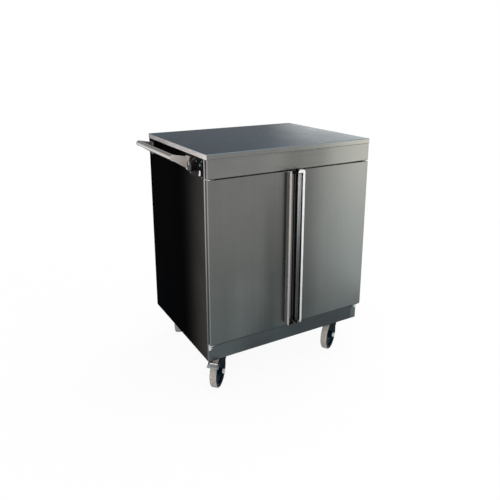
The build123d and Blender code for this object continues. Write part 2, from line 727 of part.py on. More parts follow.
def grip_core(inset, y):
    """Upright bar with rounded ends, the outside of a grip less the given inset."""
    low_x, high_x = -GRIP_FAR + inset, -GRIP_NEAR - inset
    low_z, high_z = GRIP_FOOT + inset, DOOR_TOP + GRIP_RISE - inset
    body = block((low_x, high_x), y, (low_z, high_z))
    return fillet(body.edges().filter_by(Axis.Y), GRIP_ROUND - inset)


def door_grip():
    """Folded channel on the door's face, open towards the meeting edge, with rounded end caps."""
    outside = grip_core(0, (FRONT - GRIP_REACH, FRONT))
    hollow = grip_core(GRIP_SHEET, (FRONT - GRIP_REACH + GRIP_SHEET, FRONT - GRIP_SHEET))
    mouth_x = (-GRIP_FAR + GRIP_LIP, 0)
    mouth_y = (FRONT - GRIP_REACH - OVERCUT, FRONT - GRIP_SHEET)
    mouth_z = (GRIP_FOOT + GRIP_CAP, DOOR_TOP + GRIP_RISE - GRIP_CAP)
    channel = outside - hollow - block(mouth_x, mouth_y, mouth_z)
    # The part of the cap that stands above the door is clear of the fascia.
    above_y = (FRONT - GRIP_FASCIA_GAP, FRONT + OVERCUT)
    return channel - block((-GRIP_FAR - OVERCUT, 0), above_y, (DOOR_TOP, DOOR_TOP + OVERCUT))


def hinge_bracket(z, leg_direction):
    """L-shaped plate whose tongue takes the door's pin and whose leg lies on the carcass."""
    x = (-SIDE + BRACKET_SIDE_PLAY, -SIDE + BRACKET_SIDE_PLAY + BRACKET_WIDTH)
    tongue = block(x, (PIVOT_Y - BRACKET_NOSE, CARCASS_FRONT), (z, z + BRACKET_PLATE))
    leg_z = (z, z + BRACKET_LEG)
    if leg_direction < 0:
        leg_z = (z + BRACKET_PLATE - BRACKET_LEG, z + BRACKET_PLATE)
    leg = block(x, (CARCASS_FRONT - BRACKET_PLATE, CARCASS_FRONT), leg_z)
    low = (PIVOT_X, PIVOT_Y, z - OVERCUT)
    high = (PIVOT_X, PIVOT_Y, z + OVERCUT)
    return tongue + leg - bar(low, high, PIN_RADIUS + RUNNING_CLEARANCE)


def hinge_brackets():
    upper = hinge_bracket(DOOR_TOP + BRACKET_PLAY, 1)
    lower = hinge_bracket(DOOR_FOOT - BRACKET_PLAY - BRACKET_PLATE, -1)
    return group([upper, lower, mirrored(upper), mirrored(lower)])


def door_magnets():
    width, depth, height = MAGNET_SIZE
    x = (-MAGNET_FROM_CENTRE - width / 2, -MAGNET_FROM_CENTRE + width / 2)
    z = (MAGNET_Z - height / 2, MAGNET_Z + height / 2)
    magnet = block(x, (CARCASS_FRONT - depth, CARCASS_FRONT), z)
    return group([magnet, mirrored(magnet)])


# Castors: drawn with the swivel axis on Z and the wheel trailing along +X


def castor_bolt_places(x, y):
    return [Pos(x, y, 0) * place for place in GridLocations(*PLATE_HOLES, 2, 2)]


def castor_bolt_holes(x, y):
    hole = bar((0, 0, PLATE_FOOT - OVERCUT), (0, 0, BASE_PAN_TOP + OVERCUT), BOLT_RADIUS + BOLT_PLAY)
    return [place * hole for place in castor_bolt_places(x, y)]


def castor_plate(x, y):
    """Top plate with its pressed swivel head and the kingpin that carries the fork."""
    plate = Pos(0, 0, PLATE_FOOT + PLATE_SIZE[2] / 2) * Box(*PLATE_SIZE)
    plate = fillet(plate.edges().filter_by(Axis.Z), PANEL_CORNER)
    crown_low, crown_high = FORK_CROWN
    head_low = crown_high + SWIVEL_PLAY
    head = bar((0, 0, head_low), (0, 0, PLATE_FOOT), SWIVEL_HEAD_RADIUS)
    kingpin = bar((0, 0, crown_low - SWIVEL_PLAY), (0, 0, head_low), KINGPIN_RADIUS)
    rivet_high = crown_low - SWIVEL_PLAY
    rivet = bar((0, 0, rivet_high - KINGPIN_HEAD), (0, 0, rivet_high), KINGPIN_HEAD_RADIUS)
    return Pos(x, y, 0) * (plate + head + kingpin + rivet) - castor_bolt_holes(x, y)


def castor_plates():
    return group([castor_plate(x, y) for x, y, _, _ in CASTORS.values()])


def castor_bolts():
    head = hexagon((0, 0, PLATE_FOOT - BOLT_HEAD), (0, 0, PLATE_FOOT), BOLT_HEAD_RADIUS)
    shank = bar((0, 0, PLATE_FOOT), (0, 0, BASE_PAN_TOP + NUT_HEIGHT), BOLT_RADIUS)
    nut = hexagon((0, 0, BASE_PAN_TOP), (0, 0, BASE_PAN_TOP + NUT_HEIGHT), BOLT_HEAD_RADIUS)
    bolt = head + shank + nut
    places = [place for x, y, _, _ in CASTORS.values() for place in castor_bolt_places(x, y)]
    return group([place * bolt for place in places])


def castor_fork(braked):
    crown_low, crown_high = FORK_CROWN
    half = FORK_INSIDE / 2 + FORK_SHEET
    outline = Polyline(
        (FORK_FRONT, crown_high),
        (FORK_BACK, crown_high),
        (TRAIL + FORK_TOE, WHEEL_RADIUS),
        (TRAIL - FORK_TOE, WHEEL_RADIUS),
        (FORK_FRONT, FORK_SHOULDER_Z),
        close=True,
    )
    side = make_face(Plane.XZ * outline)
    side += Plane.XZ * Pos(TRAIL, WHEEL_RADIUS) * Circle(FORK_TOE)
    if braked:
        side += brake_ear()
    legs = extrude(side, half, both=True)
    wheel_room = block((-WIDTH, WIDTH), (-FORK_INSIDE / 2, FORK_INSIDE / 2), (0, crown_low))
    collar = bar((0, 0, crown_low), (0, 0, crown_high), FORK_CROWN_RADIUS)
    fork = legs - wheel_room + collar
    fork -= bar((0, 0, 0), (0, 0, HEIGHT), KINGPIN_RADIUS + RUNNING_CLEARANCE)
    fork -= bar((TRAIL, -WIDTH, WHEEL_RADIUS), (TRAIL, WIDTH, WHEEL_RADIUS), AXLE_RADIUS)
    if braked:
        u, z = PEDAL_PIVOT
        fork -= bar((u, -WIDTH, z), (u, WIDTH, z), PEDAL_PIN + RUNNING_CLEARANCE)
    return fork


def brake_ear():
    """Side of the fork that reaches back to the pedal's pivot."""
    u, z = PEDAL_PIVOT
    outline = Polyline(
        (0, FORK_SHOULDER_Z),
        (u, z + PEDAL_EAR),
        (u, z - PEDAL_EAR),
        (TRAIL + FORK_TOE / 2, WHEEL_RADIUS + FORK_TOE),
        close=True,
    )
    return make_face(Plane.XZ * outline) + Plane.XZ * Pos(u, z) * Circle(PEDAL_EAR)


def castor_axle():
    half = FORK_INSIDE / 2 + FORK_SHEET
    shank = bar((TRAIL, -half, WHEEL_RADIUS), (TRAIL, half, WHEEL_RADIUS), AXLE_RADIUS)
    head = hexagon((TRAIL, half, WHEEL_RADIUS), (TRAIL, half + AXLE_HEAD, WHEEL_RADIUS), AXLE_HEAD_RADIUS)
    nut = hexagon((TRAIL, -half, WHEEL_RADIUS), (TRAIL, -half - AXLE_HEAD, WHEEL_RADIUS), AXLE_HEAD_RADIUS)
    return shank + head + nut


def wheel_disc(radius, width):
    return bar((TRAIL, -width / 2, WHEEL_RADIUS), (TRAIL, width / 2, WHEEL_RADIUS), radius)


def castor_hub():
    rim_radius = WHEEL_RADIUS - TREAD_DEPTH
    hub = wheel_disc(rim_radius, HUB_WIDTH)
    pocket = wheel_disc(rim_radius - HUB_RIM, HUB_WIDTH) - wheel_disc(HUB_BOSS_RADIUS, HUB_WIDTH)
    web = wheel_disc(rim_radius - HUB_RIM, HUB_WIDTH - 2 * HUB_POCKET)
    hub = hub - pocket + web + wheel_disc(HUB_BOSS_RADIUS, HUB_BOSS_WIDTH)
    return hub - wheel_disc(AXLE_RADIUS + RUNNING_CLEARANCE, WIDTH)


def castor_tyre():
    tyre = wheel_disc(WHEEL_RADIUS, TYRE_WIDTH)
    shoulders = tyre.edges().filter_by(GeomType.CIRCLE)
    return fillet(shoulders, TYRE_SHOULDER) - wheel_disc(WHEEL_RADIUS - TREAD_DEPTH, TYRE_WIDTH + OVERCUT)


def brake_pedal():
    u, z = PEDAL_PIVOT
    tip_u, tip_z = PEDAL_TIP
    pin_half = FORK_INSIDE / 2 + FORK_SHEET
    pin = bar((u, -pin_half, z), (u, pin_half, z), PEDAL_PIN)
    boss = bar((u, -PEDAL_WIDTH / 2, z), (u, PEDAL_WIDTH / 2, z), PEDAL_BOSS)
    arm = Polyline(
        (u, z + PEDAL_BOSS),
        (PEDAL_KNEE, z),
        (PEDAL_KNEE, z - PEDAL_PLATE),
        (u, z - PEDAL_BOSS / 2),
        close=True,
    )
    tread = Polyline(
        (PEDAL_KNEE, z),
        (tip_u, tip_z + PEDAL_PLATE),
        (tip_u, tip_z),
        (PEDAL_KNEE, z - PEDAL_PLATE),
        close=True,
    )
    pedal = extrude(make_face(Plane.XZ * arm), PEDAL_WIDTH / 2, both=True)
    pedal += extrude(make_face(Plane.XZ * tread), PEDAL_TREAD_WIDTH / 2, both=True)
    return pedal + boss + pin


def castor_nodes():
    nodes = {}
    for name, (x, y, heading, braked) in CASTORS.items():
        place = Pos(x, y, 0) * Rot(0, 0, heading)
        nodes[f"{name}_castor_fork"] = place * castor_fork(braked)
        nodes[f"{name}_castor_axle"] = place * castor_axle()
        nodes[f"{name}_castor_hub"] = place * castor_hub()
        nodes[f"{name}_castor_tyre"] = place * castor_tyre()
        if braked:
            nodes[f"{name}_brake_pedal"] = place * brake_pedal()
    return nodes


def door_nodes():
    makers = {
        "outer_skin": door_outer_skin,
        "inner_skin": door_inner_skin,
        "hinge_pins": door_hinge_pins,
        "gasket": door_gasket,
        "grip": door_grip,
    }
    nodes = {}
    for name, maker in makers.items():
        left = maker()
        nodes[f"left_door_{name}"] = left
        nodes[f"right_door_{name}"] = mirrored(left)
    return nodes


def cabinet_nodes():
    return {
        "worktop": worktop(),
        "front_fascia": front_fascia(),
        "left_side_panel": left_side_panel(),
        "right_side_panel": mirrored(plain_side_panel()),
        "back_panel": back_panel(),
        "front_plinth": front_plinth(),
        "base_pan": base_pan(),
        "chamber_left_wall": chamber_left_wall(),
        "chamber_right_wall": mirrored(chamber_left_wall()),
        "chamber_back_wall": chamber_back_wall(),
        "chamber_ceiling": chamber_ceiling(),
        "chamber_floor": chamber_floor(),
        "insulation_slabs": insulation_slabs(),
        "shelf_runners": shelf_runners(),
        "wire_shelves": group([wire_shelf(height) for height in RUNNER_HEIGHTS]),
        "heating_element": heating_element(),
        "element_cover": element_cover(),
        "control_panel": control_panel(),
        "thermostat": thermostat(),
        "thermostat_knob": thermostat_knob(),
        "sensor_bulb": sensor_bulb(),
        "indicator_lamp": indicator_lamp(),
        "power_switch": power_switch(),
        "switch_rocker": switch_rocker(),
        "terminal_block": terminal_block(),
        "cable_gland": cable_gland(),
        "push_handle_tube": push_handle_tube(),
        "push_handle_brackets": push_handle_brackets(),
        "hinge_brackets": hinge_brackets(),
        "door_magnets": door_magnets(),
        "castor_plates": castor_plates(),
        "castor_bolts": castor_bolts(),
    }


def main():
    os.makedirs("parts", exist_ok=True)
    nodes = {**cabinet_nodes(), **door_nodes(), **castor_nodes()}
    for name, shape in nodes.items():
        export_step(Pos(FRAME_SHIFT, 0, 0) * shape, f"parts/{name}.step")


main()
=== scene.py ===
import json
import math

import bmesh
import bpy
from bpy.props import FloatProperty, FloatVectorProperty, IntProperty, PointerProperty
from mathutils import Matrix, Vector


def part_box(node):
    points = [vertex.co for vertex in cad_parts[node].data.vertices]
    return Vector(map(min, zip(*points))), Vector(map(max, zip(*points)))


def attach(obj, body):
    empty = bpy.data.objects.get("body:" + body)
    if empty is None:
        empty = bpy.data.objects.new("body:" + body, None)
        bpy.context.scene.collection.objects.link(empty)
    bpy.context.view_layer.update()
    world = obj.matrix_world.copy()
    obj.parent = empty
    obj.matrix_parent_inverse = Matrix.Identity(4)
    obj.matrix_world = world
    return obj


bl_info = {
    "name": "Plate warmer",
    "version": (1, 0, 0),
    "blender": (4, 5, 0),
    "location": "3D View > Sidebar > Plate warmer",
    "description": "Finishes, small fittings and stage for a plate warmer on castors",
    "category": "Object",
}

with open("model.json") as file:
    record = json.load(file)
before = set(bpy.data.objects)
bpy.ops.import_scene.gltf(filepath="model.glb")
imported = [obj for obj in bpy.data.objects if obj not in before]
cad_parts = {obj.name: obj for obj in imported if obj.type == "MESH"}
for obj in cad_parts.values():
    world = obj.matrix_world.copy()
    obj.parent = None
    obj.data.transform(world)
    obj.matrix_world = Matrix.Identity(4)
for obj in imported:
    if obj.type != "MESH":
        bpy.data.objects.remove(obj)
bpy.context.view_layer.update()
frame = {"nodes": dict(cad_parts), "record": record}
NODES = frame["nodes"]

# Planes of the cabinet, from the solids
WORKTOP_LOW, WORKTOP_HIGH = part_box("worktop")
SIDE_LOW, SIDE_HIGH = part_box("left_side_panel")
PANEL_LOW, PANEL_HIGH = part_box("control_panel")
KNOB_LOW, KNOB_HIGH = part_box("thermostat_knob")
DOOR_LOW, DOOR_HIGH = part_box("left_door_outer_skin")
GRIP_LOW, GRIP_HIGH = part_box("left_door_grip")
MIDDLE_X = (WORKTOP_LOW.x + WORKTOP_HIGH.x) / 2
WORKTOP_HALF = (WORKTOP_HIGH.x - WORKTOP_LOW.x) / 2
SIDE_HALF = MIDDLE_X - SIDE_LOW.x
KNOB_MIDDLE = (KNOB_LOW + KNOB_HIGH) / 2
GRIP_FAR = MIDDLE_X - GRIP_LOW.x

# Axes of a drawing on the left end, the front and the back of the cabinet: to its right, up and out
LEFT_END_AXES = Matrix(((0, 0, -1, 0), (-1, 0, 0, 0), (0, 1, 0, 0), (0, 0, 0, 1)))
FRONT_AXES = Matrix(((1, 0, 0, 0), (0, 0, -1, 0), (0, 1, 0, 0), (0, 0, 0, 1)))
BACK_AXES = Matrix(((-1, 0, 0, 0), (0, 0, 1, 0), (0, 1, 0, 0), (0, 0, 0, 1)))

CASTORS = ("front_left", "front_right", "rear_left", "rear_right")
BRAKED_CASTORS = ("front_left", "rear_left")
DOORS = ("left_door", "right_door")

# Soft border between two finishes
BORDER = 0.0012

WHITE = (1.0, 1.0, 1.0)

# Lighter and darker tones, as shares of a finish's own colour, for painted reflections, highlights and
# shade
DOOR_INNER_TONE = 0.74
DOOR_DIM_TONE = 0.78
DOOR_PALE_TONE = 1.2
FASCIA_DIM_TONE = 0.76
PLINTH_DIM_TONE = 0.55
PLINTH_SHADOW_TONE = 0.42
RIM_REAR_SHADE_TONE = 0.4
TUBE_SHADE_TONE = 0.3
# Grip tones are painted light: the outer wall toned like the door, and the strip painted darker low and
# lighter high.
GRIP_OUTSIDE_TONE = 0.80
STRIP_LOW_TONE = 0.7
STRIP_HIGH_TONE = 5.0
FOLD_SHADE_TONE = 0.5

# Where the painted highlight on the tube's outer side ends and the painted shade on its underside starts,
# in radii from its side and its foot
TUBE_HIGHLIGHT_END = 0.30
TUBE_HIGHLIGHT_FULL = 0.05
TUBE_SHADE_START = 0.85
TUBE_SHADE_FULL = 0.45

# Grain of brushed steel, in features per metre across it and along it, and its clouds along each axis
FINE_GRAIN = (1400.0, 9.0)
STREAK_GRAIN = (160.0, 1.6)
CLOUD_SCALE = (7.0, 7.0, 5.0)

# What the floor and the walls show in reflections: where each band starts and where it is full
PATCH_SLANT = (-0.06, 0.12)
PATCH_BEFORE_DOORS = (0.25, 0.36)
TROUGH_EDGE = (0.03, 0.11)
TROUGH_FAR_LOSS = 0.4
COOL_REACH = (0.5, 1.5)
REAR_WALL_TURN = (0.62, 0.92)


# Settings


def setting_kind(prop, **fixed):
    """Maker of settings of one kind."""

    def make(name, description, default):
        return prop(name=name, description=description, default=default, **fixed)

    return make


colour_setting = setting_kind(FloatVectorProperty, size=3, min=0.0, max=1.0, subtype="COLOR")
tint_setting = setting_kind(FloatVectorProperty, size=3, min=0.0, max=2.0)
place_setting = setting_kind(FloatVectorProperty, size=3, subtype="TRANSLATION", unit="LENGTH")
length_setting = setting_kind(FloatProperty, subtype="DISTANCE", unit="LENGTH", precision=4)
angle_setting = setting_kind(FloatProperty, subtype="ANGLE", unit="ROTATION")
share_setting = setting_kind(FloatProperty, min=0.0, max=1.0, subtype="FACTOR")
strength_setting = setting_kind(FloatProperty, min=0.0)
power_setting = setting_kind(FloatProperty, min=0.0, unit="POWER")
lens_setting = setting_kind(FloatProperty, min=1.0, unit="CAMERA")
shift_setting = setting_kind(FloatProperty)
count_setting = setting_kind(IntProperty, min=2)


class FinishColours(bpy.types.PropertyGroup):
    """Colours of the plate warmer's finishes."""

    worktop: colour_setting("Worktop", "Brushed steel of the worktop", (0.185, 0.236, 0.290))
    front: colour_setting("Front", "Brushed steel of the doors", (0.150, 0.153, 0.147))
    fascia: colour_setting("Fascia", "Steel of the fascia and the worktop's front", (0.178, 0.182, 0.172))
    # The next two colours are painted light: a painted highlight on the front of the folded edges, and a
    # painted shadow behind them and inside the grips.
    bare_edge: colour_setting("Bare edge", "Folded edges of the doors and the fascia", (0.29, 0.28, 0.27))
    shadow: colour_setting("Shadow gap", "Blackened steel behind the folded edges", (0.006, 0.006, 0.007))
    # The rim colour is a painted highlight on the worktop's turned-down ends and on the hinge brackets'
    # outer ends.
    rim: colour_setting("Rim", "Turned-down ends of the worktop", (0.74, 0.70, 0.69))
    # The fold colour is a painted highlight along the sides' rounded front folds, darkened towards the
    # floor as painted shade.
    fold: colour_setting("Fold", "Bare steel of the sides' front folds", (0.38, 0.36, 0.355))
    plinth: colour_setting("Plinth", "Brushed steel of the plinth", (0.130, 0.138, 0.142))
    coat: colour_setting("Coat", "Satin black coat of the end and back panels", (0.0010, 0.0010, 0.0013))
    # The worn coat colour is a painted sheen towards the sides' front edge.
    coat_sheen: colour_setting("Worn coat", "Rubbed coat near the front edge", (0.044, 0.041, 0.037))
    bright: colour_setting("Bright steel", "Polished steel of the hinges", (0.46, 0.44, 0.42))
    # The handle and tube colours are a lit and a shaded copy of one steel: a painted highlight on the
    # tube's outer side, and painted shade over the rest of it.
    handle: colour_setting("Handle", "Polished outer side of the push handle", (0.66, 0.61, 0.57))
    tube: colour_setting("Tube", "Dull steel of the push handle's tube", (0.20, 0.19, 0.185))
    # The stained steel colour is painted shade on the handle's rear bracket.
    stained: colour_setting("Stained steel", "Heat-stained bracket at the rear", (0.10, 0.09, 0.085))
    bracket: colour_setting("Bracket", "Satin steel of the handle's brackets", (0.47, 0.435, 0.41))
    # The two grips' lips and channels are lit and shaded copies of one steel: the lips carry a painted
    # highlight, the channels painted light and shade.
    left_lip: colour_setting("Left lip", "Polished lip of the left door's grip", (0.47, 0.42, 0.40))
    left_channel: colour_setting("Left channel", "Inside of the left door's grip", (0.28, 0.285, 0.28))
    right_lip: colour_setting("Right lip", "Polished lip of the right door's grip", (0.80, 0.80, 0.79))
    right_channel: colour_setting("Right channel", "Inside of the right door's grip", (0.16, 0.16, 0.16))
    liner: colour_setting("Liner", "Mill-finish steel inside the chamber", (0.50, 0.50, 0.49))
    wire: colour_setting("Shelf wire", "Plated wire of the shelves", (0.62, 0.62, 0.63))
    galvanised: colour_setting("Galvanised", "Zinc-coated sheet of the base pan", (0.40, 0.41, 0.42))
    zinc: colour_setting("Zinc plate", "Plated castor plates, bolts and pedals", (0.40, 0.41, 0.41))
    axle: colour_setting("Axle", "Bright ends of the castors' axles", (0.85, 0.86, 0.88))
    enamel: colour_setting("Enamel", "Dark enamel of the castor forks", (0.004, 0.008, 0.013))
    hub: colour_setting("Hub", "Moulded wheel hubs", (0.004, 0.012, 0.022))
    tread: colour_setting("Tread", "Grey rubber of the tyres", (0.42, 0.385, 0.35))
    # The tyre side colour is painted shade on the sides of the tyres.
    tyre_side: colour_setting("Tyre side", "Dark sides of the tyres", (0.004, 0.009, 0.015))
    sheath: colour_setting("Sheath", "Heat-stained steel of the element", (0.13, 0.115, 0.105))
    wool: colour_setting("Wool", "Mineral wool of the insulation", (0.46, 0.40, 0.26))
    seal: colour_setting("Seal", "Rubber of the door gaskets", (0.022, 0.022, 0.022))
    black: colour_setting("Black plastic", "Control panel, knob and switch", (0.004, 0.004, 0.005))
    white: colour_setting("White plastic", "Rocker and terminal block", (0.78, 0.78, 0.75))
    lens: colour_setting("Lens", "Lens of the indicator lamp", (0.01, 0.10, 0.065))
    mark: colour_setting("Marks", "Printed marks of the dial", (0.72, 0.72, 0.70))
    hot_mark: colour_setting("Hot marks", "Marks at the hot end of the dial", (0.45, 0.03, 0.03))


class FittingSizes(bpy.types.PropertyGroup):
    """Sizes of the small fittings."""

    edge_skin: length_setting("Edge skin", "Depth of an edge's own finish", 0.0014)
    # Next: the depth of the painted highlight on the front of the outer edges.
    bright_edge: length_setting("Bright edge", "Bright front part of the doors' outer edges", 0.0065)
    # Next: the width of the painted highlight along the sides' front folds.
    bare_fold: length_setting("Bare fold", "Bare steel along the front fold of the sides", 0.0055)
    # Next: how far back the painted sheen on the coat goes.
    rubbed_reach: length_setting("Rubbed reach", "How far back the coat of the sides is rubbed", 0.26)
    # The grip sizes place painted light: the highlight on a lip and cap, the strip inside painted lighter
    # towards the top, and painted shadow in the rest of the channel.
    grip_lip_face: length_setting("Lip face", "Depth of the bright face of a grip's lip", 0.0020)
    grip_lip: length_setting("Grip lip", "Width of the bright lip of a grip", 0.0082)
    grip_cap: length_setting("Grip cap", "Height of the bright cap of a grip", 0.0110)
    stile_near: length_setting("Stile start", "Start of a grip's polished strip, from the middle", 0.0152)
    stile_far: length_setting("Stile end", "End of a grip's polished strip, from the middle", 0.0306)
    stile_fade: length_setting("Stile fade", "How far the left grip fades towards the middle", 0.0180)
    polished_reach: length_setting("Polished reach", "How far down hands have polished the strip", 0.56)
    tread_half: length_setting("Tread half", "Half the width of a tyre's pale tread", 0.0126)
    # These sizes place painted reflections: dim on the right door's inner side and over the fascia's
    # middle, a dim and a pale streak on the left door.
    dim_reach: length_setting("Dim reach", "How far the right door is dim from its inner side", 0.15)
    dim_streak: length_setting("Dim streak", "From the middle to the left door's dim streak", 0.075)
    dim_streak_half: length_setting("Dim streak half", "Half the width of the dim streak", 0.07)
    pale_streak: length_setting("Pale streak", "From the middle to the left door's pale streak", 0.19)
    pale_streak_half: length_setting("Pale streak half", "Half the width of the pale streak", 0.10)
    # The plinth sizes place painted light: a painted shadow band under the doors, and a painted dim
    # reflection towards the right that lightens again at the right end.
    plinth_shade: length_setting("Plinth shade", "Height of the dull band under the doors", 0.022)
    dull_start: length_setting("Dull start", "Where the plinth starts to dull, right of the middle", -0.14)
    dull_full: length_setting("Dull full", "Where the plinth is fully dull, right of the middle", 0.08)
    bare_start: length_setting("Bare start", "Where the plinth's right end starts to turn bare", 0.315)
    bare_full: length_setting("Bare full", "Where the plinth would be fully bare again", 0.40)
    # The bright outer end of the hinge brackets is a painted highlight.
    bracket_tip: length_setting("Bracket tip", "Bright outer end of the hinge brackets", 0.0110)
    panel_screw: length_setting("Panel screw", "Head radius of the control panel's screws", 0.0022)
    flange_screw: length_setting("Flange screw", "Head radius of the handle's screws", 0.0034)
    bracket_screw: length_setting("Bracket screw", "Head radius of the hinge brackets' screws", 0.0030)
    back_screw: length_setting("Back screw", "Head radius of the back panel's screws", 0.0040)
    tick_count: count_setting("Ticks", "Marks round the dial", 19)
    tick_inner: length_setting("Tick start", "Inner radius of the dial's marks", 0.0222)
    tick_length: length_setting("Tick length", "Length of a short mark", 0.0016)
    tick_width: length_setting("Tick width", "Width of a mark", 0.0007)
    number_height: length_setting("Number height", "Height of the dial's numbers", 0.0034)
    number_radius: length_setting("Number radius", "Distance of the numbers from the knob's axis", 0.0266)
    print_height: length_setting("Print height", "Thickness of the printed marks", 0.0002)
    pointer_length: length_setting("Pointer length", "Length of the knob's pointer", 0.0130)
    pointer_width: length_setting("Pointer width", "Width of the knob's pointer", 0.0030)


class StageSettings(bpy.types.PropertyGroup):
    """Camera, light and floor. The floor's patch, trough, shade and tint show only in reflections."""

    camera_place: place_setting("Camera", "Where the camera stands", (MIDDLE_X - 1.0600, -1.8040, 1.2135))
    heading: angle_setting("Heading", "Turn of the camera to the right", math.radians(29.82))
    tilt: angle_setting("Tilt", "Tilt of the camera below the level", math.radians(14.97))
    lens: lens_setting("Lens", "Focal length", 37.76)
    rise: shift_setting("Rise", "Upright shift of the lens, in picture widths", -0.11)
    floor_radius: length_setting("Floor", "Radius of the floor", 40.0)
    floor_grey: share_setting("Floor grey", "Lightness of the floor", 0.86)
    floor_bleach: share_setting("Floor bleach", "How white the floor near the object looks", 0.93)
    floor_slant: share_setting("Floor slant", "Slope of the floor's bands in reflections", 0.72)
    patch_gain: share_setting("Patch gain", "How much brighter the floor is at the right", 0.5)
    trough_place: length_setting("Trough place", "How far left the floor's dark band is", 0.32)
    trough_loss: share_setting("Trough loss", "How much darker that band is", 0.45)
    near_tint: tint_setting("Near tint", "Tint of the near floor in reflections", (0.84, 1.0, 1.03))
    shade_start: length_setting("Shade start", "Where reflections of the floor start to lighten", 0.3)
    shade_reach: length_setting("Shade reach", "How far the floor looks darker in reflections", 2.6)
    shade: share_setting("Shade", "Strength of the floor beside the object in reflections", 0.63)
    ambient: share_setting("Ambient", "Strength of the light from all round", 0.55)
    rear_wall: share_setting("Rear wall", "Strength of the far wall in reflections", 0.55)
    front_wall: strength_setting("Front wall", "Strength of the near walls in reflections", 1.2)
    door_card: length_setting("Door card", "From the middle to the doors' reflector card", 0.75)
    worktop_card: length_setting("Worktop card", "From the middle to the worktop's reflector card", 0.80)
    door_card_low_tint: tint_setting("Door card low tint", "Doors' card at the floor", (0.90, 1.0, 1.0))
    door_card_low: strength_setting("Door card low", "Strength of the doors' card at the floor", 2.15)
    door_card_high_tint: tint_setting("Door card high tint", "Doors' card at the top", (1.0, 0.96, 0.90))
    door_card_high: strength_setting("Door card high", "Strength of the doors' card at the top", 4.0)
    worktop_card_tint: tint_setting("Worktop card tint", "Tint of the worktop's card", (1.0, 1.0, 0.94))
    worktop_card_strength: strength_setting("Worktop card strength", "Strength of the worktop's card", 4.0)
    overhead: power_setting("Overhead lamp", "Power of the lamp above", 60.0)
    right_lamp: power_setting("Right lamp", "Power of the lamp on the right", 60.0)
    left_lamp: power_setting("Left lamp", "Power of the lamp at the front left", 30.0)


def colours():
    return bpy.context.scene.plate_warmer_colours


def sizes():
    return bpy.context.scene.plate_warmer_sizes


def stage_settings():
    return bpy.context.scene.plate_warmer_stage


# Shader sums


class Wire:
    """An output socket whose Python operators add Math nodes."""

    def __init__(self, sheet, socket):
        self.sheet = sheet
        self.socket = socket

    def maths(self, operation, first, second):
        return self.sheet.add("ShaderNodeMath", {"operation": operation}, {0: first, 1: second})

    def __add__(self, other):
        return self.maths("ADD", self, other)

    def __sub__(self, other):
        return self.maths("SUBTRACT", self, other)

    def __rsub__(self, other):
        return self.maths("SUBTRACT", other, self)

    def __mul__(self, other):
        return self.maths("MULTIPLY", self, other)

    def __abs__(self):
        return self.maths("ABSOLUTE", self, 0.0)

    def most(self, other):
        return self.maths("MAXIMUM", self, other)

    __radd__ = __add__
    __rmul__ = __mul__


class NodeSheet:
    """The nodes of one material or world."""

    def __init__(self, owner):
        self.owner = owner
        owner.use_nodes = True
        self.tree = owner.node_tree
        self.tree.nodes.clear()

    def add(self, kind, settings=None, inputs=None, output=0):
        """One node: its settings are set first, then the values or links of its sockets."""
        node = self.tree.nodes.new(kind)
        for name, value in (settings or {}).items():
            setattr(node, name, value)
        for name, value in (inputs or {}).items():
            if isinstance(value, Wire):
                self.tree.links.new(value.socket, node.inputs[name])
            else:
                node.inputs[name].default_value = value
        return Wire(self, node.outputs[output]) if node.outputs else None

    def point(self):
        return self.add("ShaderNodeTexCoord", output="Object")

    def axes(self):
        """The three coordinates of the shaded point."""
        apart = self.add("ShaderNodeSeparateXYZ", inputs={"Vector": self.point()})
        outputs = apart.socket.node.outputs
        return [Wire(self, outputs[name]) for name in "XYZ"]

    def noise(self, scale, detail=2.0, roughness=0.5):
        """Cloudy noise with one scale or one along each axis, in features per metre."""
        scales = scale if isinstance(scale, tuple) else (scale,) * 3
        stretched = self.add("ShaderNodeMapping", inputs={"Vector": self.point(), "Scale": scales})
        inputs = {"Vector": stretched, "Scale": 1.0, "Detail": detail, "Roughness": roughness}
        return self.add("ShaderNodeTexNoise", inputs=inputs, output="Fac")

    def step(self, value, low, high):
        """Smooth mask: 0 below low, 1 above high."""
        inputs = {"Value": value, "From Min": low, "From Max": high}
        return self.add("ShaderNodeMapRange", {"interpolation_type": "SMOOTHSTEP"}, inputs)

    def past(self, value, edge, border=BORDER):
        """Mask: 0 before an edge and 1 past it."""
        return self.step(value, edge - border / 2, edge + border / 2)

    def mix(self, share, first, second, blend="MIX"):
        """Colour between two colours, or their product."""
        inputs = {0: share, 6: opaque(first), 7: opaque(second)}
        return self.add("ShaderNodeMix", {"data_type": "RGBA", "blend_type": blend}, inputs, output=2)

    def tones(self, share, colour, low, high):
        """From one tone of a colour to another."""
        return self.mix(share, shaded(colour, low), shaded(colour, high))

    def vary(self, share, colour, contrast):
        """The colour, up to a contrast darker or lighter."""
        change = self.mix(share, (1 - contrast,) * 3, (1 + contrast,) * 3)
        return self.mix(1.0, colour, change, "MULTIPLY")

    def bump(self, height, strength, distance, edge=0.0):
        """Normal for a fine relief, over softened edges where an edge radius is given."""
        inputs = {"Height": height, "Strength": strength, "Distance": distance}
        if edge:
            inputs["Normal"] = self.add("ShaderNodeBevel", {"samples": 4}, {"Radius": edge})
        return self.add("ShaderNodeBump", inputs=inputs)

    def close(self, shader):
        """Ends a material's sheet and hands back the material."""
        self.add("ShaderNodeOutputMaterial", inputs={"Surface": shader})
        return self.owner

    def surface(self, **inputs):
        """Ends the sheet with one shader. Names are the shader's sockets with underscores for spaces."""
        sockets = {name.replace("_", " "): value for name, value in inputs.items()}
        return self.close(self.add("ShaderNodeBsdfPrincipled", inputs=sockets))


def opaque(colour):
    return colour if isinstance(colour, Wire) else (*colour, 1.0)


def shaded(colour, amount):
    """The same colour, lighter or darker."""
    return tuple(min(1.0, channel * amount) for channel in colour)


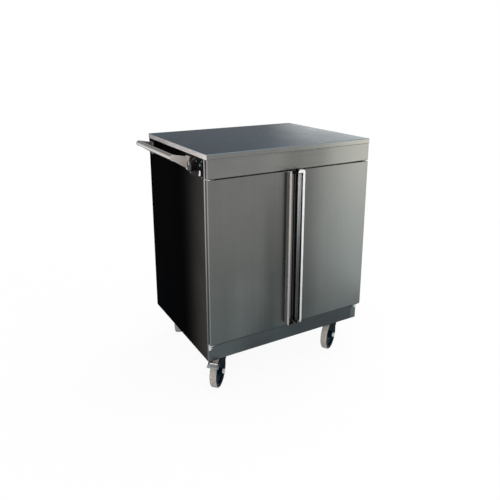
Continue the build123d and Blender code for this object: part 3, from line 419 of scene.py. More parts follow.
def new_sheet(name):
    """Sheet of a new material."""
    return NodeSheet(bpy.data.materials.new(name))


def grain_scale(axis, grain):
    """Noise scale of a grain that runs along one axis."""
    across, along = grain
    return tuple(along if letter == axis else across for letter in "XYZ")


# Finishes


def brushed_steel(name, colour, axis, roughness=0.33, masks=None, contrast=0.10, grazing=1.0):
    """Sheet steel with a grain along one axis. Masks give other colours to some of its edges."""
    sheet = new_sheet(name)
    fine = sheet.noise(grain_scale(axis, FINE_GRAIN), detail=3.0)
    streaks = sheet.noise(grain_scale(axis, STREAK_GRAIN), detail=3.0)
    clouds = sheet.noise(CLOUD_SCALE, detail=4.0, roughness=0.6)
    base = colour
    metal = 1.0
    if masks:
        for mask, edge_colour, edge_metal in masks(sheet):
            base = sheet.mix(mask, base, edge_colour)
            if edge_metal < 1:
                metal = metal - mask * (1 - edge_metal)
    tone = sheet.step(fine * 0.30 + streaks * 0.30 + clouds * 0.40, 0.30, 0.70)
    wear = (clouds - 0.5) * 0.16 + (streaks - 0.5) * 0.10
    return sheet.surface(
        Base_Color=sheet.vary(tone, base, contrast),
        Metallic=metal,
        Roughness=wear + roughness,
        Specular_Tint=(grazing, grazing, grazing, 1.0),
        Normal=sheet.bump(fine, strength=0.04, distance=0.0002),
    )


def polished_steel(name, colour, roughness=0.25, metal=1.0, masks=None):
    """Smooth steel with a faint haze and rounded edges. Masks give other colours to some of its parts."""
    sheet = new_sheet(name)
    haze = sheet.noise(60.0, detail=4.0)
    scratches = sheet.noise((500.0, 30.0, 500.0), detail=2.0)
    base = colour
    for mask, other_colour in masks(sheet) if masks else ():
        base = sheet.mix(mask, base, other_colour)
    return sheet.surface(
        Base_Color=sheet.vary(haze, base, contrast=0.12),
        Metallic=metal,
        Roughness=roughness + (haze - 0.5) * 0.16,
        Normal=sheet.bump(scratches, strength=0.03, distance=0.0002, edge=0.0010),
    )


def tube_masks(sheet):
    """Painted highlight on the outer side of the handle's tube, and painted shade on its underside."""
    low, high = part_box("push_handle_tube")
    x, _, z = sheet.axes()
    radius = (high.x - low.x) / 2
    outer = sheet.step(x, low.x + radius * TUBE_HIGHLIGHT_END, low.x + radius * TUBE_HIGHLIGHT_FULL)
    under = sheet.step(z, low.z + radius * TUBE_SHADE_START, low.z + radius * TUBE_SHADE_FULL)
    return [(outer, colours().handle), (under, shaded(colours().tube, TUBE_SHADE_TONE))]


def gusset_masks(sheet):
    """Painted shade on the rear bracket of the handle."""
    _, y, _ = sheet.axes()
    return [(sheet.past(y, 0.0), colours().stained)]


def side_distance(sheet):
    """How far the shaded point is from the cabinet's middle plane."""
    x, _, _ = sheet.axes()
    return abs(x - MIDDLE_X)


def folded_edge_masks(sheet):
    """Outer edges of the doors and the fascia: a painted highlight along the front and a painted shadow
    behind.
    """
    _, y, _ = sheet.axes()
    edge = sheet.past(side_distance(sheet), SIDE_HALF - sizes().edge_skin)
    behind = sheet.past(y, DOOR_LOW.y + sizes().bright_edge)
    return [(edge, colours().bare_edge, 1.0), (edge * behind, colours().shadow, 1.0)]


def streak(sheet, across, place, half):
    """Mask of a soft upright streak, given its distance to the right of the middle and half its width."""
    return 1 - sheet.step(abs(across - place), half / 3, half)


def door_masks(sheet):
    """Doors: painted reflections, dim at the right one's inner side, with a dim and a pale streak on the
    left one.
    """
    fit = sizes()
    front = colours().front
    x, _, z = sheet.axes()
    across = x - MIDDLE_X
    middle = (DOOR_LOW.z + DOOR_HIGH.z) / 2
    half = (DOOR_HIGH.z - DOOR_LOW.z) / 2
    inner = sheet.past(across, 0.0) * sheet.step(across, fit.dim_reach, fit.dim_reach / 3)
    dim = streak(sheet, across, -fit.dim_streak, fit.dim_streak_half)
    dim = dim * (1 - sheet.step(abs(z - middle), half / 3, half))
    pale = streak(sheet, across, -fit.pale_streak, fit.pale_streak_half)
    pale = pale * sheet.step(z, middle, DOOR_LOW.z + half / 2)
    tones = [
        (inner, shaded(front, DOOR_INNER_TONE), 1.0),
        (dim, shaded(front, DOOR_DIM_TONE), 1.0),
        (pale, shaded(front, DOOR_PALE_TONE), 1.0),
    ]
    return tones + folded_edge_masks(sheet)


def fascia_masks(sheet):
    """Fascia: a painted dim reflection over the middle of the doors, and the folded edges."""
    x, _, _ = sheet.axes()
    dim = streak(sheet, x - MIDDLE_X, sizes().dim_reach / 3, sizes().dim_reach)
    return [(dim, shaded(colours().fascia, FASCIA_DIM_TONE), 1.0)] + folded_edge_masks(sheet)


def worktop_masks(sheet):
    """Turned-down rim: its front matches the fascia, and its ends carry a painted highlight, with painted
    shade towards the rear.
    """
    _, y, z = sheet.axes()
    rim = 1 - sheet.past(z, WORKTOP_HIGH.z - sizes().edge_skin)
    end = sheet.past(side_distance(sheet), WORKTOP_HALF - sizes().edge_skin) * rim
    rear = sheet.step(y, 0.0, WORKTOP_HIGH.y)
    # Painted shade on the rear of the rim's ends.
    dull = shaded(colours().rim, RIM_REAR_SHADE_TONE)
    return [(rim, colours().fascia, 1.0), (end, colours().rim, 0.3), (end * rear, dull, 1.0)]


def plinth_masks(sheet):
    """Plinth: painted shadow under the doors, and a painted dim reflection towards the right that lightens
    again at its right end.
    """
    fit = sizes()
    plinth = colours().plinth
    x, _, z = sheet.axes()
    across = x - MIDDLE_X
    top = DOOR_LOW.z
    under = sheet.step(z, top - fit.plinth_shade, top - fit.plinth_shade / 2)
    # Painted dim reflection towards the right, lighter again at the right end.
    dull = sheet.step(across, fit.dull_start, fit.dull_full)
    dull = dull * sheet.step(across, fit.bare_full, fit.bare_start)
    return [(dull, shaded(plinth, PLINTH_DIM_TONE), 1.0), (under, shaded(plinth, PLINTH_SHADOW_TONE), 1.0)]


def bracket_masks(sheet):
    """Painted highlight on the outer ends of the hinge brackets."""
    tip = sheet.past(side_distance(sheet), SIDE_HALF - sizes().bracket_tip)
    return [(tip, colours().rim, 0.6)]


def grip_steel(name, lip, channel, capped):
    """Channel of a door grip: painted highlight on the lip, a strip inside in painted light and shade, and
    painted shadow elsewhere.
    """
    sheet = new_sheet(name)
    fit = sizes()
    _, y, z = sheet.axes()
    out = side_distance(sheet)
    haze = sheet.noise((60.0, 60.0, 8.0), detail=4.0)
    face = 1 - sheet.past(y, GRIP_LOW.y + fit.grip_lip_face)
    lip_mask = face * sheet.past(out, GRIP_FAR - fit.grip_lip)
    if capped:
        stile = sheet.past(out, fit.stile_near) * (1 - sheet.past(out, fit.stile_far))
        brightened = sheet.step(z, GRIP_HIGH.z - fit.polished_reach, GRIP_HIGH.z)
        strip = sheet.tones(brightened * brightened, channel, STRIP_LOW_TONE, STRIP_HIGH_TONE)
        lip_mask = lip_mask.most(face.most(stile) * sheet.past(z, GRIP_HIGH.z - fit.grip_cap))
    else:
        inside = (1 - face) * (1 - sheet.past(z, GRIP_HIGH.z - BORDER))
        stile = sheet.step(out, 0.0, fit.stile_fade) * inside
        strip = channel
    outside = sheet.past(out, GRIP_FAR - BORDER)
    base = sheet.mix(stile, colours().shadow, strip)
    base = sheet.mix(outside, base, shaded(colours().front, GRIP_OUTSIDE_TONE))
    base = sheet.mix(lip_mask, base, lip)
    dull = stile.most(outside) * (1 - lip_mask)
    return sheet.surface(
        Base_Color=sheet.vary(haze, base, contrast=0.1),
        Metallic=1 - dull * 0.85 - lip_mask * 0.4,
        Roughness=0.28 + (haze - 0.5) * 0.16,
        Specular_IOR_Level=0.1,
        Normal=sheet.bump(haze, strength=0.03, distance=0.0004, edge=0.0008),
    )


def coated_steel():
    """Satin black coat with a painted sheen towards the front, and a painted highlight along the rounded
    front fold that darkens towards the floor.
    """
    sheet = new_sheet("side coating")
    fit = sizes()
    _, y, z = sheet.axes()
    distance = side_distance(sheet)
    front = SIDE_LOW.y
    peel = sheet.noise(900.0, detail=1.0)
    clouds = sheet.noise(6.0, detail=4.0)
    brightened = 1 - sheet.step(y, front, front + fit.rubbed_reach)
    brightened = brightened * brightened * (0.7 + clouds * 0.6)
    face = 1 - sheet.past(y, front + BORDER)
    corner = sheet.past(distance, SIDE_HALF - fit.bare_fold / 2)
    corner = corner * (1 - sheet.past(y, front + fit.bare_fold))
    base = sheet.mix(brightened, colours().coat, colours().coat_sheen)
    base = sheet.mix(face, base, colours().plinth)
    fold = sheet.tones(sheet.step(z, SIDE_LOW.z, SIDE_HIGH.z), colours().fold, FOLD_SHADE_TONE, 1.0)
    base = sheet.mix(corner, base, fold)
    return sheet.surface(
        Base_Color=base,
        Metallic=face.most(corner),
        Roughness=0.42 + (clouds - 0.5) * 0.2,
        Specular_IOR_Level=0.0006,
        Normal=sheet.bump(peel, strength=0.06, distance=0.0003),
    )


def zinc_plate():
    """Plated steel with a faint mottle."""
    sheet = new_sheet("zinc plate")
    mottle = sheet.noise(140.0, detail=3.0)
    stains = sheet.noise(30.0, detail=4.0)
    base = sheet.tones(sheet.step(mottle, 0.3, 0.7), colours().zinc, 0.82, 1.08)
    base = sheet.mix(sheet.step(stains, 0.55, 0.8) * 0.5, base, (0.30, 0.27, 0.22))
    return sheet.surface(
        Base_Color=base,
        Metallic=1.0,
        Roughness=0.30 + stains * 0.2,
        Normal=sheet.bump(mottle, strength=0.12, distance=0.0003, edge=0.0008),
    )


def galvanised_steel():
    """Zinc-coated sheet with its crystal spangle."""
    sheet = new_sheet("galvanised steel")
    inputs = {"Vector": sheet.point(), "Scale": 90.0}
    crystals = sheet.add("ShaderNodeTexVoronoi", {"feature": "F1"}, inputs, output="Color")
    value = sheet.add("ShaderNodeSeparateColor", inputs={"Color": crystals})
    base = sheet.tones(value, colours().galvanised, 0.75, 1.15)
    return sheet.surface(Base_Color=base, Metallic=1.0, Roughness=0.36 + value * 0.18)


def enamel():
    """Dark sprayed enamel, dull with dust."""
    sheet = new_sheet("castor enamel")
    peel = sheet.noise(500.0, detail=2.0)
    dust = sheet.noise(45.0, detail=5.0, roughness=0.7)
    base = sheet.mix(sheet.step(dust, 0.5, 0.85) * 0.3, colours().enamel, (0.020, 0.022, 0.025))
    return sheet.surface(
        Base_Color=base,
        Roughness=0.42 + dust * 0.25,
        Specular_IOR_Level=0.02,
        Normal=sheet.bump(peel, strength=0.10, distance=0.0004, edge=0.0010),
    )


def plastic(name, colour, roughness, specular=0.4):
    """Moulded plastic with a fine sparked texture."""
    sheet = new_sheet(name)
    texture = sheet.noise(700.0, detail=1.0)
    clouds = sheet.noise(40.0, detail=3.0)
    return sheet.surface(
        Base_Color=sheet.tones(clouds, colour, 0.8, 1.2),
        Roughness=roughness + (clouds - 0.5) * 0.15,
        Specular_IOR_Level=specular,
        Normal=sheet.bump(texture, strength=0.08, distance=0.0003, edge=0.0006),
    )


def wheel_axis(castor):
    """Direction of a castor's axle."""
    joints = frame["record"]["behaviour"]["joints"]
    return next(Vector(joint["axis"]) for joint in joints if joint["name"] == f"{castor}_wheel_roll")


def tread_rubber(castor):
    """Grey wheel rubber with scuffs and floor dirt, and painted shade on the tyre's sides."""
    sheet = new_sheet(f"{castor} tyre rubber")
    x, y, _ = sheet.axes()
    low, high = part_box(f"{castor}_castor_tyre")
    middle = (low + high) / 2
    axle = wheel_axis(castor)
    aside = abs((x - middle.x) * axle.x + (y - middle.y) * axle.y)
    scuffs = sheet.noise(120.0, detail=5.0, roughness=0.7)
    dirt = sheet.noise(28.0, detail=4.0)
    base = sheet.tones(sheet.step(scuffs, 0.35, 0.7), colours().tread, 0.78, 1.12)
    base = sheet.mix(sheet.step(dirt, 0.52, 0.75) * 0.45, base, (0.16, 0.13, 0.10))
    base = sheet.mix(sheet.past(aside, sizes().tread_half), base, colours().tyre_side)
    return sheet.surface(
        Base_Color=base,
        Roughness=0.62 + scuffs * 0.2,
        Specular_IOR_Level=0.3,
        Normal=sheet.bump(scuffs, strength=0.15, distance=0.0005),
    )


def heat_stained():
    """Element sheath, browned and blued by heat."""
    sheet = new_sheet("element sheath")
    bands = sheet.noise((14.0, 9.0, 14.0), detail=3.0)
    base = sheet.mix(sheet.step(bands, 0.35, 0.65), colours().sheath, (0.09, 0.10, 0.14))
    return sheet.surface(Base_Color=base, Metallic=0.8, Roughness=0.40 + bands * 0.2)


def mineral_wool():
    """Felted fibres."""
    sheet = new_sheet("mineral wool")
    fibres = sheet.noise((900.0, 260.0, 500.0), detail=4.0, roughness=0.7)
    return sheet.surface(
        Base_Color=sheet.tones(fibres, colours().wool, 0.55, 1.3),
        Roughness=0.95,
        Specular_IOR_Level=0.1,
        Normal=sheet.bump(fibres, strength=0.6, distance=0.002),
    )


def lamp_lens():
    """Moulded green lens with a painted highlight towards its middle."""
    sheet = new_sheet("green lens")
    low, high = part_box("indicator_lamp")
    middle = (low + high) / 2
    _, y, z = sheet.axes()
    off_middle = abs(y - middle.y).most(abs(z - middle.z))
    ripples = sheet.noise(600.0, detail=1.0)
    return sheet.surface(
        Base_Color=sheet.tones(sheet.step(off_middle, 0.0, 0.006), colours().lens, 1.5, 0.6),
        Roughness=0.16,
        Coat_Weight=0.6,
        Normal=sheet.bump(ripples, strength=0.05, distance=0.0003),
    )


def flat_print(name, colour):
    """Printed ink."""
    sheet = new_sheet(name)
    specks = sheet.noise(2500.0, detail=1.0)
    return sheet.surface(Base_Color=sheet.tones(specks, colour, 0.9, 1.1), Roughness=0.5 + specks * 0.1)


def each(group, part):
    """Names of one part on all doors or castors of a group."""
    return [f"{name}_{part}" for name in group]


def dress(material, *names):
    """Gives a finish to nodes of the solid model."""
    for name in names:
        for slot in NODES[name].material_slots:
            slot.material = material


# Small fittings

# Dial: its sweep in degrees, the share before its hot end, ticks per number, and a long tick in short ones
DIAL_SWEEP = 270.0
HOT_SHARE = 0.7
TICKS_PER_NUMBER = 3
LONG_TICK = 1.6

# Pointer: how far it stands out of the knob, and where its outer end is as a share of the knob's radius
POINTER_PROUD = 0.0008
POINTER_END = 0.78

# Screw head: its height and its recess in radii, the recess's lobes and how deep they are, and its facets
SCREW_HEIGHT = 0.62
SCREW_RECESS = 0.42
SCREW_LOBES = 6
SCREW_LOBE_DEPTH = 0.20
SCREW_FACETS = 24


def mesh_object(name, form, material):
    """Puts a finished form into the scene."""
    mesh = bpy.data.meshes.new(name)
    form.to_mesh(mesh)
    form.free()
    mesh.materials.append(material)
    made = bpy.data.objects.new(name, mesh)
    bpy.context.scene.collection.objects.link(made)
    return made


def new_piece(name, material, body, slot, maker, *details):
    """Makes a mesh piece with a maker and its details, and lets it ride on a body."""
    form = bmesh.new()
    maker(form, *details)
    bmesh.ops.recalc_face_normals(form, faces=form.faces)
    piece = mesh_object(name, form, material)
    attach(piece, body)


def add_screw(form, place, axes, radius):
    """Domed screw head with a six-lobed recess, standing on a face."""
    height = radius * SCREW_HEIGHT
    recess = radius * SCREW_RECESS
    profile = [
        (0.0, height * 0.45),
        (recess, height * 0.45),
        (recess, height * 0.98),
        (radius * 0.62, height * 0.90),
        (radius * 0.90, height * 0.55),
        (radius, height * 0.18),
        (radius, -height * 0.10),
    ]
    corners = [form.verts.new((x, 0.0, z)) for x, z in profile]
    edges = [form.edges.new(pair) for pair in zip(corners, corners[1:])]
    bmesh.ops.spin(
        form,
        geom=corners + edges,
        cent=(0, 0, 0),
        axis=(0, 0, 1),
        angle=2 * math.pi,
        steps=SCREW_FACETS,
        use_merge=True,
    )
    verts = linked_verts(corners[0])
    bmesh.ops.remove_doubles(form, verts=verts, dist=radius * 0.001)
    verts = [vert for vert in verts if vert.is_valid]
    for vert in verts:
        distance = math.hypot(vert.co.x, vert.co.y)
        if abs(distance - recess) < recess * 0.05:
            lobe = 1 + SCREW_LOBE_DEPTH * math.cos(SCREW_LOBES * math.atan2(vert.co.y, vert.co.x))
            vert.co.x *= lobe
            vert.co.y *= lobe
    bmesh.ops.transform(form, matrix=Matrix.Translation(place) @ axes, verts=verts)


def linked_verts(start):
    """All vertices of the shell that holds a vertex."""
    found = [start]
    known = {start}
    for vert in found:
        for edge in vert.link_edges:
            other = edge.other_vert(vert)
            if other not in known:
                known.add(other)
                found.append(other)
    return found


def add_screws(form, places, axes, radius):
    """Like screw heads, one at each place."""
    for place in places:
        add_screw(form, place, axes, radius)


def add_bar(form, size, matrix, bevel):
    """Small bar with softened edges."""
    made = bmesh.ops.create_cube(form, size=1.0)
    bmesh.ops.scale(form, vec=size, verts=made["verts"])
    edges = list(dict.fromkeys(edge for vert in made["verts"] for edge in vert.link_edges))
    shaped = bmesh.ops.bevel(
        form,
        geom=edges,
        offset=bevel,
        offset_type="OFFSET",
        affect="EDGES",
        segments=2,
        profile=0.5,
        material=-1,
    )
    bmesh.ops.transform(form, matrix=matrix, verts=linked_verts(shaped["faces"][0].verts[0]))


def text_mesh(words, height, thickness):
    """Flat raised figures as a mesh, centred on the origin."""
    curve = bpy.data.curves.new("figures", "FONT")
    curve.body = words
    curve.size = height
    curve.extrude = thickness / 2
    curve.align_x = "CENTER"
    curve.align_y = "CENTER"
    holder = bpy.data.objects.new("figures", curve)
    bpy.context.scene.collection.objects.link(holder)
    bpy.context.view_layer.update()
    mesh = bpy.data.meshes.new_from_object(holder.evaluated_get(bpy.context.evaluated_depsgraph_get()))
    bpy.data.objects.remove(holder)
    bpy.data.curves.remove(curve)
    return mesh


class PLATEWARMER_OT_finish_cabinet(bpy.types.Operator):
    """Finish the worktop, the panels and the plinth"""

    bl_idname = "plate_warmer.finish_cabinet"
    bl_label = "Cabinet finish"

    def execute(self, context):
        shades = colours()
        top = brushed_steel(
            "worktop steel", shades.worktop, "X", 0.28, worktop_masks, contrast=0.04, grazing=0.35
        )
        dress(top, "worktop")
        dress(brushed_steel("fascia steel", shades.fascia, "X", 0.34, fascia_masks), "front_fascia")
        dress(brushed_steel("plinth steel", shades.plinth, "X", 0.40, plinth_masks), "front_plinth")
        dress(coated_steel(), "left_side_panel", "right_side_panel", "back_panel")
        dress(galvanised_steel(), "base_pan")
        return {"FINISHED"}


class PLATEWARMER_OT_finish_doors(bpy.types.Operator):
    """Finish the doors, their grips, seals and hinges"""

    bl_idname = "plate_warmer.finish_doors"
    bl_label = "Door finish"

    def execute(self, context):
        shades = colours()
        door = brushed_steel("door steel", shades.front, "Z", 0.31, door_masks, contrast=0.06)
        seal = plastic("seal rubber", shades.seal, 0.7)
        lining = brushed_steel("door lining", shades.liner, "Z", 0.38)
        dress(door, *each(DOORS, "outer_skin"))
        dress(lining, *each(DOORS, "inner_skin"))
        dress(seal, *each(DOORS, "gasket"))
        left_grip = grip_steel("left grip steel", shades.left_lip, shades.left_channel, False)
        dress(left_grip, "left_door_grip")
        right_grip = grip_steel("right grip steel", shades.right_lip, shades.right_channel, True)
        dress(right_grip, "right_door_grip")
        dress(brushed_steel("bracket plate", shades.plinth, "X", 0.4, bracket_masks), "hinge_brackets")
        hinge = polished_steel("hinge steel", shades.bright, 0.3)
        dress(hinge, *each(DOORS, "hinge_pins"))
        dress(plastic("magnet plastic", shades.black, 0.5), "door_magnets")
        return {"FINISHED"}


class PLATEWARMER_OT_finish_chamber(bpy.types.Operator):
    """Finish the heated chamber, its shelves and its heater"""

    bl_idname = "plate_warmer.finish_chamber"
    bl_label = "Chamber finish"

    def execute(self, context):
        shades = colours()
        walls = brushed_steel("liner steel", shades.liner, "Y", 0.34)
        dress(walls, *(f"chamber_{name}" for name in ("left_wall", "right_wall", "ceiling", "floor")))
        dress(walls, "shelf_runners")
        across = brushed_steel("liner steel across", shades.liner, "X", 0.34)
        dress(across, "chamber_back_wall", "element_cover")
        dress(brushed_steel("shelf wire", shades.wire, "Y", 0.18), "wire_shelves")
        dress(heat_stained(), "heating_element", "sensor_bulb")
        dress(mineral_wool(), "insulation_slabs")
        return {"FINISHED"}


class PLATEWARMER_OT_finish_controls(bpy.types.Operator):
    """Finish the controls, the mains entry and the push handle"""

    bl_idname = "plate_warmer.finish_controls"
    bl_label = "Controls finish"

    def execute(self, context):
        shades = colours()
        black = plastic("black plastic", shades.black, 0.34, specular=0.03)
        dress(black, "control_panel", "thermostat", "power_switch", "cable_gland")
        dress(plastic("knob plastic", shades.black, 0.26, specular=0.15), "thermostat_knob")
        dress(plastic("white plastic", shades.white, 0.3), "switch_rocker", "terminal_block")
        dress(lamp_lens(), "indicator_lamp")
        dress(polished_steel("handle steel", shades.tube, masks=tube_masks), "push_handle_tube")
        bracket = polished_steel("bracket steel", shades.bracket, 0.5, metal=0.4, masks=gusset_masks)
        dress(bracket, "push_handle_brackets")
        return {"FINISHED"}


class PLATEWARMER_OT_finish_castors(bpy.types.Operator):
    """Finish the castors, their plates, bolts and pedals"""

    bl_idname = "plate_warmer.finish_castors"
    bl_label = "Castor finish"

    def execute(self, context):
        zinc = zinc_plate()
        dress(zinc, "castor_plates", "castor_bolts")
        axle = polished_steel("axle steel", colours().axle, 0.35, metal=0.4)
        dress(axle, *each(CASTORS, "castor_axle"))
        dress(zinc, *each(BRAKED_CASTORS, "brake_pedal"))
        dress(enamel(), *each(CASTORS, "castor_fork"))
        hub = plastic("hub plastic", colours().hub, 0.4, specular=0.03)
        dress(hub, *each(CASTORS, "castor_hub"))
        for name in CASTORS:
            dress(tread_rubber(name), f"{name}_castor_tyre")
        return {"FINISHED"}


class PLATEWARMER_OT_dial(bpy.types.Operator):
    """Print the dial's marks and plain numbers on the control panel"""

    bl_idname = "plate_warmer.dial"
    bl_label = "Dial"

    def execute(self, context):
        shades = colours()
        cold = flat_print("dial print", shades.mark)
        new_piece("dial_marks", cold, "cabinet", "white_plastic", self.marks, False)
        hot = flat_print("hot print", shades.hot_mark)
        new_piece("dial_hot_marks", hot, "cabinet", "white_plastic", self.marks, True)
        return {"FINISHED"}

    def marks(self, form, hot):
        """The marks and numbers before the hot end, or those at it."""
        fit = sizes()
        centre = Vector((PANEL_LOW.x - fit.print_height / 2, KNOB_MIDDLE.y, KNOB_MIDDLE.z))
        sweep = math.radians(DIAL_SWEEP)
        for index in range(fit.tick_count):
            share = index / (fit.tick_count - 1)
            if (share > HOT_SHARE) != hot:
                continue
            long_mark = index % TICKS_PER_NUMBER == 0
            length = fit.tick_length * (LONG_TICK if long_mark else 1.0)
            turn = Matrix.Rotation(sweep / 2 - share * sweep, 4, "Z")
            shift = Matrix.Translation((0, fit.tick_inner + length / 2, 0))
            matrix = Matrix.Translation(centre) @ LEFT_END_AXES @ turn @ shift
            add_bar(form, (fit.tick_width, length, fit.print_height), matrix, fit.print_height * 0.3)
            if long_mark:
                mesh = text_mesh(str(index // TICKS_PER_NUMBER), fit.number_height, fit.print_height)
                place = turn @ Vector((0, fit.number_radius, 0))
                mesh.transform(Matrix.Translation(centre) @ LEFT_END_AXES @ Matrix.Translation(place))
                form.from_mesh(mesh)
                bpy.data.meshes.remove(mesh)


class PLATEWARMER_OT_pointer(bpy.types.Operator):
    """Set the pointer into the knob"""

    bl_idname = "plate_warmer.pointer"
    bl_label = "Knob pointer"

    def execute(self, context):
        ink = flat_print("pointer", colours().mark)
        new_piece("knob_pointer", ink, "dial_knob", "white_plastic", self.make)
        return {"FINISHED"}

    def make(self, form):
        fit = sizes()
        radius = (KNOB_HIGH.z - KNOB_LOW.z) / 2
        up = radius * POINTER_END - fit.pointer_length / 2
        centre = Vector((KNOB_LOW.x, KNOB_MIDDLE.y, KNOB_MIDDLE.z + up))
        matrix = Matrix.Translation(centre) @ LEFT_END_AXES
        size = (fit.pointer_width, fit.pointer_length, 2 * POINTER_PROUD)
        add_bar(form, size, matrix, POINTER_PROUD * 0.6)


class PLATEWARMER_OT_screws(bpy.types.Operator):
    """Fit the screws of the panel, the handle, the hinge brackets and the back"""

    bl_idname = "plate_warmer.screws"
    bl_label = "Screws"

    def execute(self, context):
        fit = sizes()
        zinc = zinc_plate()
        groups = {
            "panel_screws": (self.panel_places(), LEFT_END_AXES, fit.panel_screw),
            "handle_screws": (self.flange_places(), LEFT_END_AXES, fit.flange_screw),
            "bracket_screws": (self.bracket_places(), FRONT_AXES, fit.bracket_screw),
            "back_screws": (self.back_places(), BACK_AXES, fit.back_screw),
        }
        for name, (places, axes, radius) in groups.items():
            new_piece(name, zinc, "cabinet", "zinc_plate", add_screws, places, axes, radius)
        return {"FINISHED"}

    def panel_places(self):
        inset = 0.005
        rows = (PANEL_LOW.z + inset, PANEL_HIGH.z - inset)
        return [(PANEL_LOW.x, y, z) for y in (PANEL_LOW.y + inset, PANEL_HIGH.y - inset) for z in rows]

    def flange_places(self):
        low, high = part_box("push_handle_brackets")
        flange_width = 0.030
        flange_thickness = 0.004
        face = SIDE_LOW.x - flange_thickness
        beside = 0.009
        upper_row, lower_row = 0.018, 0.045
        rows = (high.z - upper_row, high.z - lower_row)
        middles = (low.y + flange_width / 2, high.y - flange_width / 2)
        return [(face, y + side * beside, z) for y in middles for side in (-1, 1) for z in rows]

    def bracket_places(self):
        low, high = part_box("hinge_brackets")
        inset, plate = 0.014, 0.0026
        lower_row, upper_row = 0.006, 0.017
        middle = SIDE_HALF - inset
        face = high.y - plate
        rows = (low.z + lower_row, low.z + upper_row)
        return [(MIDDLE_X + side * middle, face, z) for side in (-1, 1) for z in rows]

    def back_places(self):
        low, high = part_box("back_panel")
        inset = 0.010
        count = 6
        places = []
        for index in range(count):
            z = low.z + inset + (high.z - low.z - 2 * inset) * index / (count - 1)
            places += [(low.x + inset, high.y, z), (high.x - inset, high.y, z)]
        for index in range(1, count - 1):
            x = low.x + inset + (high.x - low.x - 2 * inset) * index / (count - 1)
            places += [(x, high.y, low.z + inset), (x, high.y, high.z - inset)]
        return places


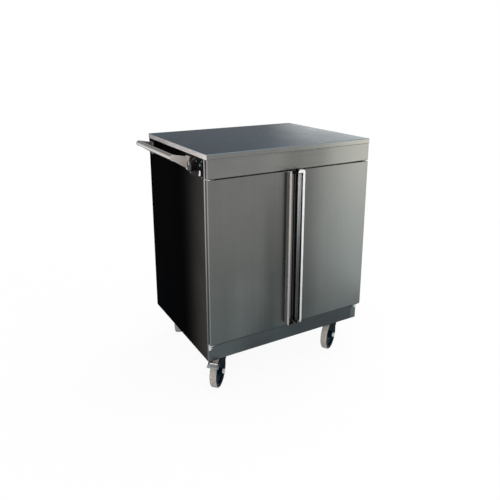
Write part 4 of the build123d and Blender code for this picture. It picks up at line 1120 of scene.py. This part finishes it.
class PLATEWARMER_OT_stage(bpy.types.Operator):
    """Set the camera, the light and the floor"""

    bl_idname = "plate_warmer.stage"
    bl_label = "Stage"

    def execute(self, context):
        context.scene.view_settings.view_transform = "Standard"
        self.add_camera(context.scene)
        self.add_floor()
        self.add_cards()
        self.light_world(context.scene)
        choice = stage_settings()
        self.add_lamp(
            "overhead lamp", choice.overhead, place=(0.3, -0.2, 3.4), target=(0.0, 0.0, 0.4), size=3.0
        )
        self.add_lamp(
            "right lamp", choice.right_lamp, place=(2.9, 1.4, 1.2), target=(0.0, 0.0, 0.6), size=2.2
        )
        self.add_lamp(
            "left lamp",
            choice.left_lamp,
            place=(-2.2, -2.2, 1.6),
            target=(-0.3, 0.0, 0.6),
            size=1.4,
            mirrored=True,
        )
        return {"FINISHED"}

    def add_camera(self, scene):
        choice = stage_settings()
        data = bpy.data.cameras.new("camera")
        data.lens = choice.lens
        data.shift_y = choice.rise
        camera = bpy.data.objects.new("camera", data)
        camera.location = choice.camera_place
        camera.rotation_euler = (math.pi / 2 - choice.tilt, 0.0, -choice.heading)
        scene.collection.objects.link(camera)
        scene.camera = camera

    def add_floor(self):
        form = bmesh.new()
        bmesh.ops.create_circle(form, cap_ends=True, segments=96, radius=stage_settings().floor_radius)
        mesh_object("floor", form, self.floor_paint())

    def add_cards(self):
        """Two reflector cards on the right, for the doors and for the worktop."""
        front, top = DOOR_LOW.y, WORKTOP_HIGH.z
        choice = stage_settings()
        self.add_card(
            "door card",
            gap=choice.door_card,
            edges=[
                ("Y", front - 0.94, front - 0.44),
                ("Y", front - 0.22, front - 0.40),
                ("Z", top + 0.05, top - 0.05),
            ],
            low=(choice.door_card_low_tint, choice.door_card_low),
            high=(choice.door_card_high_tint, choice.door_card_high),
        )
        even = (choice.worktop_card_tint, choice.worktop_card_strength)
        self.add_card(
            "worktop card",
            gap=choice.worktop_card,
            edges=[
                ("Y", 0.0, 0.25),
                ("Y", 1.3, 0.6),
                ("Z", top - 0.04, top + 0.04),
                ("Z", top + 0.22, top + 0.12),
            ],
            low=even,
            high=even,
        )

    def add_card(self, name, gap, edges, low, high):
        """Upright card with soft edges that only shiny surfaces show.

        Each edge names an axis, where the card fades out and where it is full. Low and high are the tint
        and the strength at the floor and at the height of the worktop.
        """
        reach = 2.0
        form = bmesh.new()
        bmesh.ops.create_grid(form, x_segments=1, y_segments=1, size=reach)
        upright = Matrix.Rotation(math.pi / 2, 4, "Y")
        place = Matrix.Translation((MIDDLE_X + gap, 0.0, reach)) @ upright
        bmesh.ops.transform(form, matrix=place, verts=form.verts)
        sheet = new_sheet(name)
        axes = dict(zip("XYZ", sheet.axes()))
        mask = 1.0
        for axis, gone, full in edges:
            mask = sheet.step(axes[axis], gone, full) * mask
        rise = sheet.step(axes["Z"], 0.0, WORKTOP_HIGH.z)
        (low_tint, low_glow), (high_tint, high_glow) = low, high
        glow = low_glow + rise * (high_glow - low_glow)
        tint = sheet.mix(rise, low_tint, high_tint)
        bare = sheet.add("ShaderNodeBsdfTransparent")
        lit = sheet.add("ShaderNodeEmission", inputs={"Color": tint, "Strength": glow})
        mixed = sheet.add("ShaderNodeMixShader", inputs={0: mask, 1: bare, 2: lit})
        card = mesh_object(name, form, sheet.close(mixed))
        card.visible_camera = False
        card.visible_diffuse = False
        card.visible_transmission = False
        card.visible_shadow = False

    def rays(self, sheet):
        """Masks of the rays that come from the camera, and of those that come from a shiny surface."""
        outputs = sheet.add("ShaderNodeLightPath").socket.node.outputs
        camera = Wire(sheet, outputs["Is Camera Ray"])
        mirrored = Wire(sheet, outputs["Is Glossy Ray"]).most(Wire(sheet, outputs["Is Transmission Ray"]))
        return camera, mirrored

    def floor_paint(self):
        """Pale floor that keeps the shadow near the object and turns white away from it."""
        sheet = new_sheet("floor")
        choice = stage_settings()
        camera, mirrored = self.rays(sheet)
        x, y, _ = sheet.axes()
        point = {0: sheet.point()}
        away = sheet.add("ShaderNodeVectorMath", {"operation": "LENGTH"}, point, output="Value")
        far = sheet.step(away, choice.shade_start, choice.shade_reach)
        slant = x + y * choice.floor_slant
        before = DOOR_LOW.y - y
        patch = sheet.step(slant, *PATCH_SLANT) * sheet.step(before, *PATCH_BEFORE_DOORS) * (1 - far)
        trough = 1 - sheet.step(abs(slant + choice.trough_place), *TROUGH_EDGE)
        trough = trough * (1 - far * TROUGH_FAR_LOSS)
        grey = choice.floor_grey
        paint = sheet.add("ShaderNodeBsdfDiffuse", inputs={"Color": opaque((grey, grey, grey))})
        seen = sheet.add("ShaderNodeEmission", inputs={"Color": opaque(WHITE), "Strength": 1.0})
        glimpse = choice.shade + far * (1 - choice.shade)
        glimpse = glimpse + patch * choice.patch_gain - trough * choice.trough_loss
        cool = sheet.mix(sheet.step(away, *COOL_REACH), choice.near_tint, WHITE)
        glimpsed = sheet.add("ShaderNodeEmission", inputs={"Color": cool, "Strength": glimpse})
        bleach = choice.floor_bleach + far * (1 - choice.floor_bleach)
        mixed = sheet.add("ShaderNodeMixShader", inputs={0: camera * bleach, 1: paint, 2: seen})
        mixed = sheet.add("ShaderNodeMixShader", inputs={0: mirrored, 1: mixed, 2: glimpsed})
        return sheet.close(mixed)

    def light_world(self, scene):
        """White to the eye, softer as a light, and darker at the rear in reflections."""
        world = bpy.data.worlds.new("studio")
        scene.world = world
        sheet = NodeSheet(world)
        choice = stage_settings()
        camera, mirrored = self.rays(sheet)
        direction = sheet.add("ShaderNodeTexCoord", output="Generated")
        apart = sheet.add("ShaderNodeSeparateXYZ", inputs={"Vector": direction})
        rear = sheet.step(Wire(sheet, apart.socket.node.outputs["Y"]), *REAR_WALL_TURN)
        reflected = choice.front_wall - rear * (choice.front_wall - choice.rear_wall)
        strength = choice.ambient + camera * (1 - choice.ambient)
        strength = strength + mirrored * (reflected - choice.ambient)
        sky = sheet.add("ShaderNodeBackground", inputs={"Color": opaque(WHITE), "Strength": strength})
        sheet.add("ShaderNodeOutputWorld", inputs={"Surface": sky})

    def add_lamp(self, name, power, place, target, size, mirrored=False):
        """Square lamp that shiny surfaces show only where it is mirrored."""
        light = bpy.data.lights.new(name, "AREA")
        light.shape = "SQUARE"
        light.size = size
        light.energy = power
        lamp = bpy.data.objects.new(name, light)
        lamp.location = place
        lamp.rotation_euler = (Vector(target) - Vector(place)).to_track_quat("-Z", "Y").to_euler()
        lamp.visible_camera = False
        lamp.visible_glossy = mirrored
        bpy.context.scene.collection.objects.link(lamp)


OPERATORS = (
    PLATEWARMER_OT_finish_cabinet,
    PLATEWARMER_OT_finish_doors,
    PLATEWARMER_OT_finish_chamber,
    PLATEWARMER_OT_finish_controls,
    PLATEWARMER_OT_finish_castors,
    PLATEWARMER_OT_dial,
    PLATEWARMER_OT_pointer,
    PLATEWARMER_OT_screws,
    PLATEWARMER_OT_stage,
)


class PLATEWARMER_PT_panel(bpy.types.Panel):
    """Lists the steps that dress the plate warmer"""

    bl_idname = "PLATEWARMER_PT_panel"
    bl_label = "Plate warmer"
    bl_space_type = "VIEW_3D"
    bl_region_type = "UI"
    bl_category = "Plate warmer"

    def draw(self, context):
        for operator in OPERATORS:
            self.layout.operator(operator.bl_idname)


SETTINGS = {
    "plate_warmer_colours": FinishColours,
    "plate_warmer_sizes": FittingSizes,
    "plate_warmer_stage": StageSettings,
}
CLASSES = (*SETTINGS.values(), *OPERATORS, PLATEWARMER_PT_panel)


def register():
    for item in CLASSES:
        bpy.utils.register_class(item)
    for name, group in SETTINGS.items():
        setattr(bpy.types.Scene, name, PointerProperty(type=group))


def unregister():
    for name in SETTINGS:
        delattr(bpy.types.Scene, name)
    for item in reversed(CLASSES):
        bpy.utils.unregister_class(item)


def main():
    register()
    for operator in OPERATORS:
        group, name = operator.bl_idname.split(".")
        getattr(getattr(bpy.ops, group), name)()


if __name__ == "__main__":
    main()
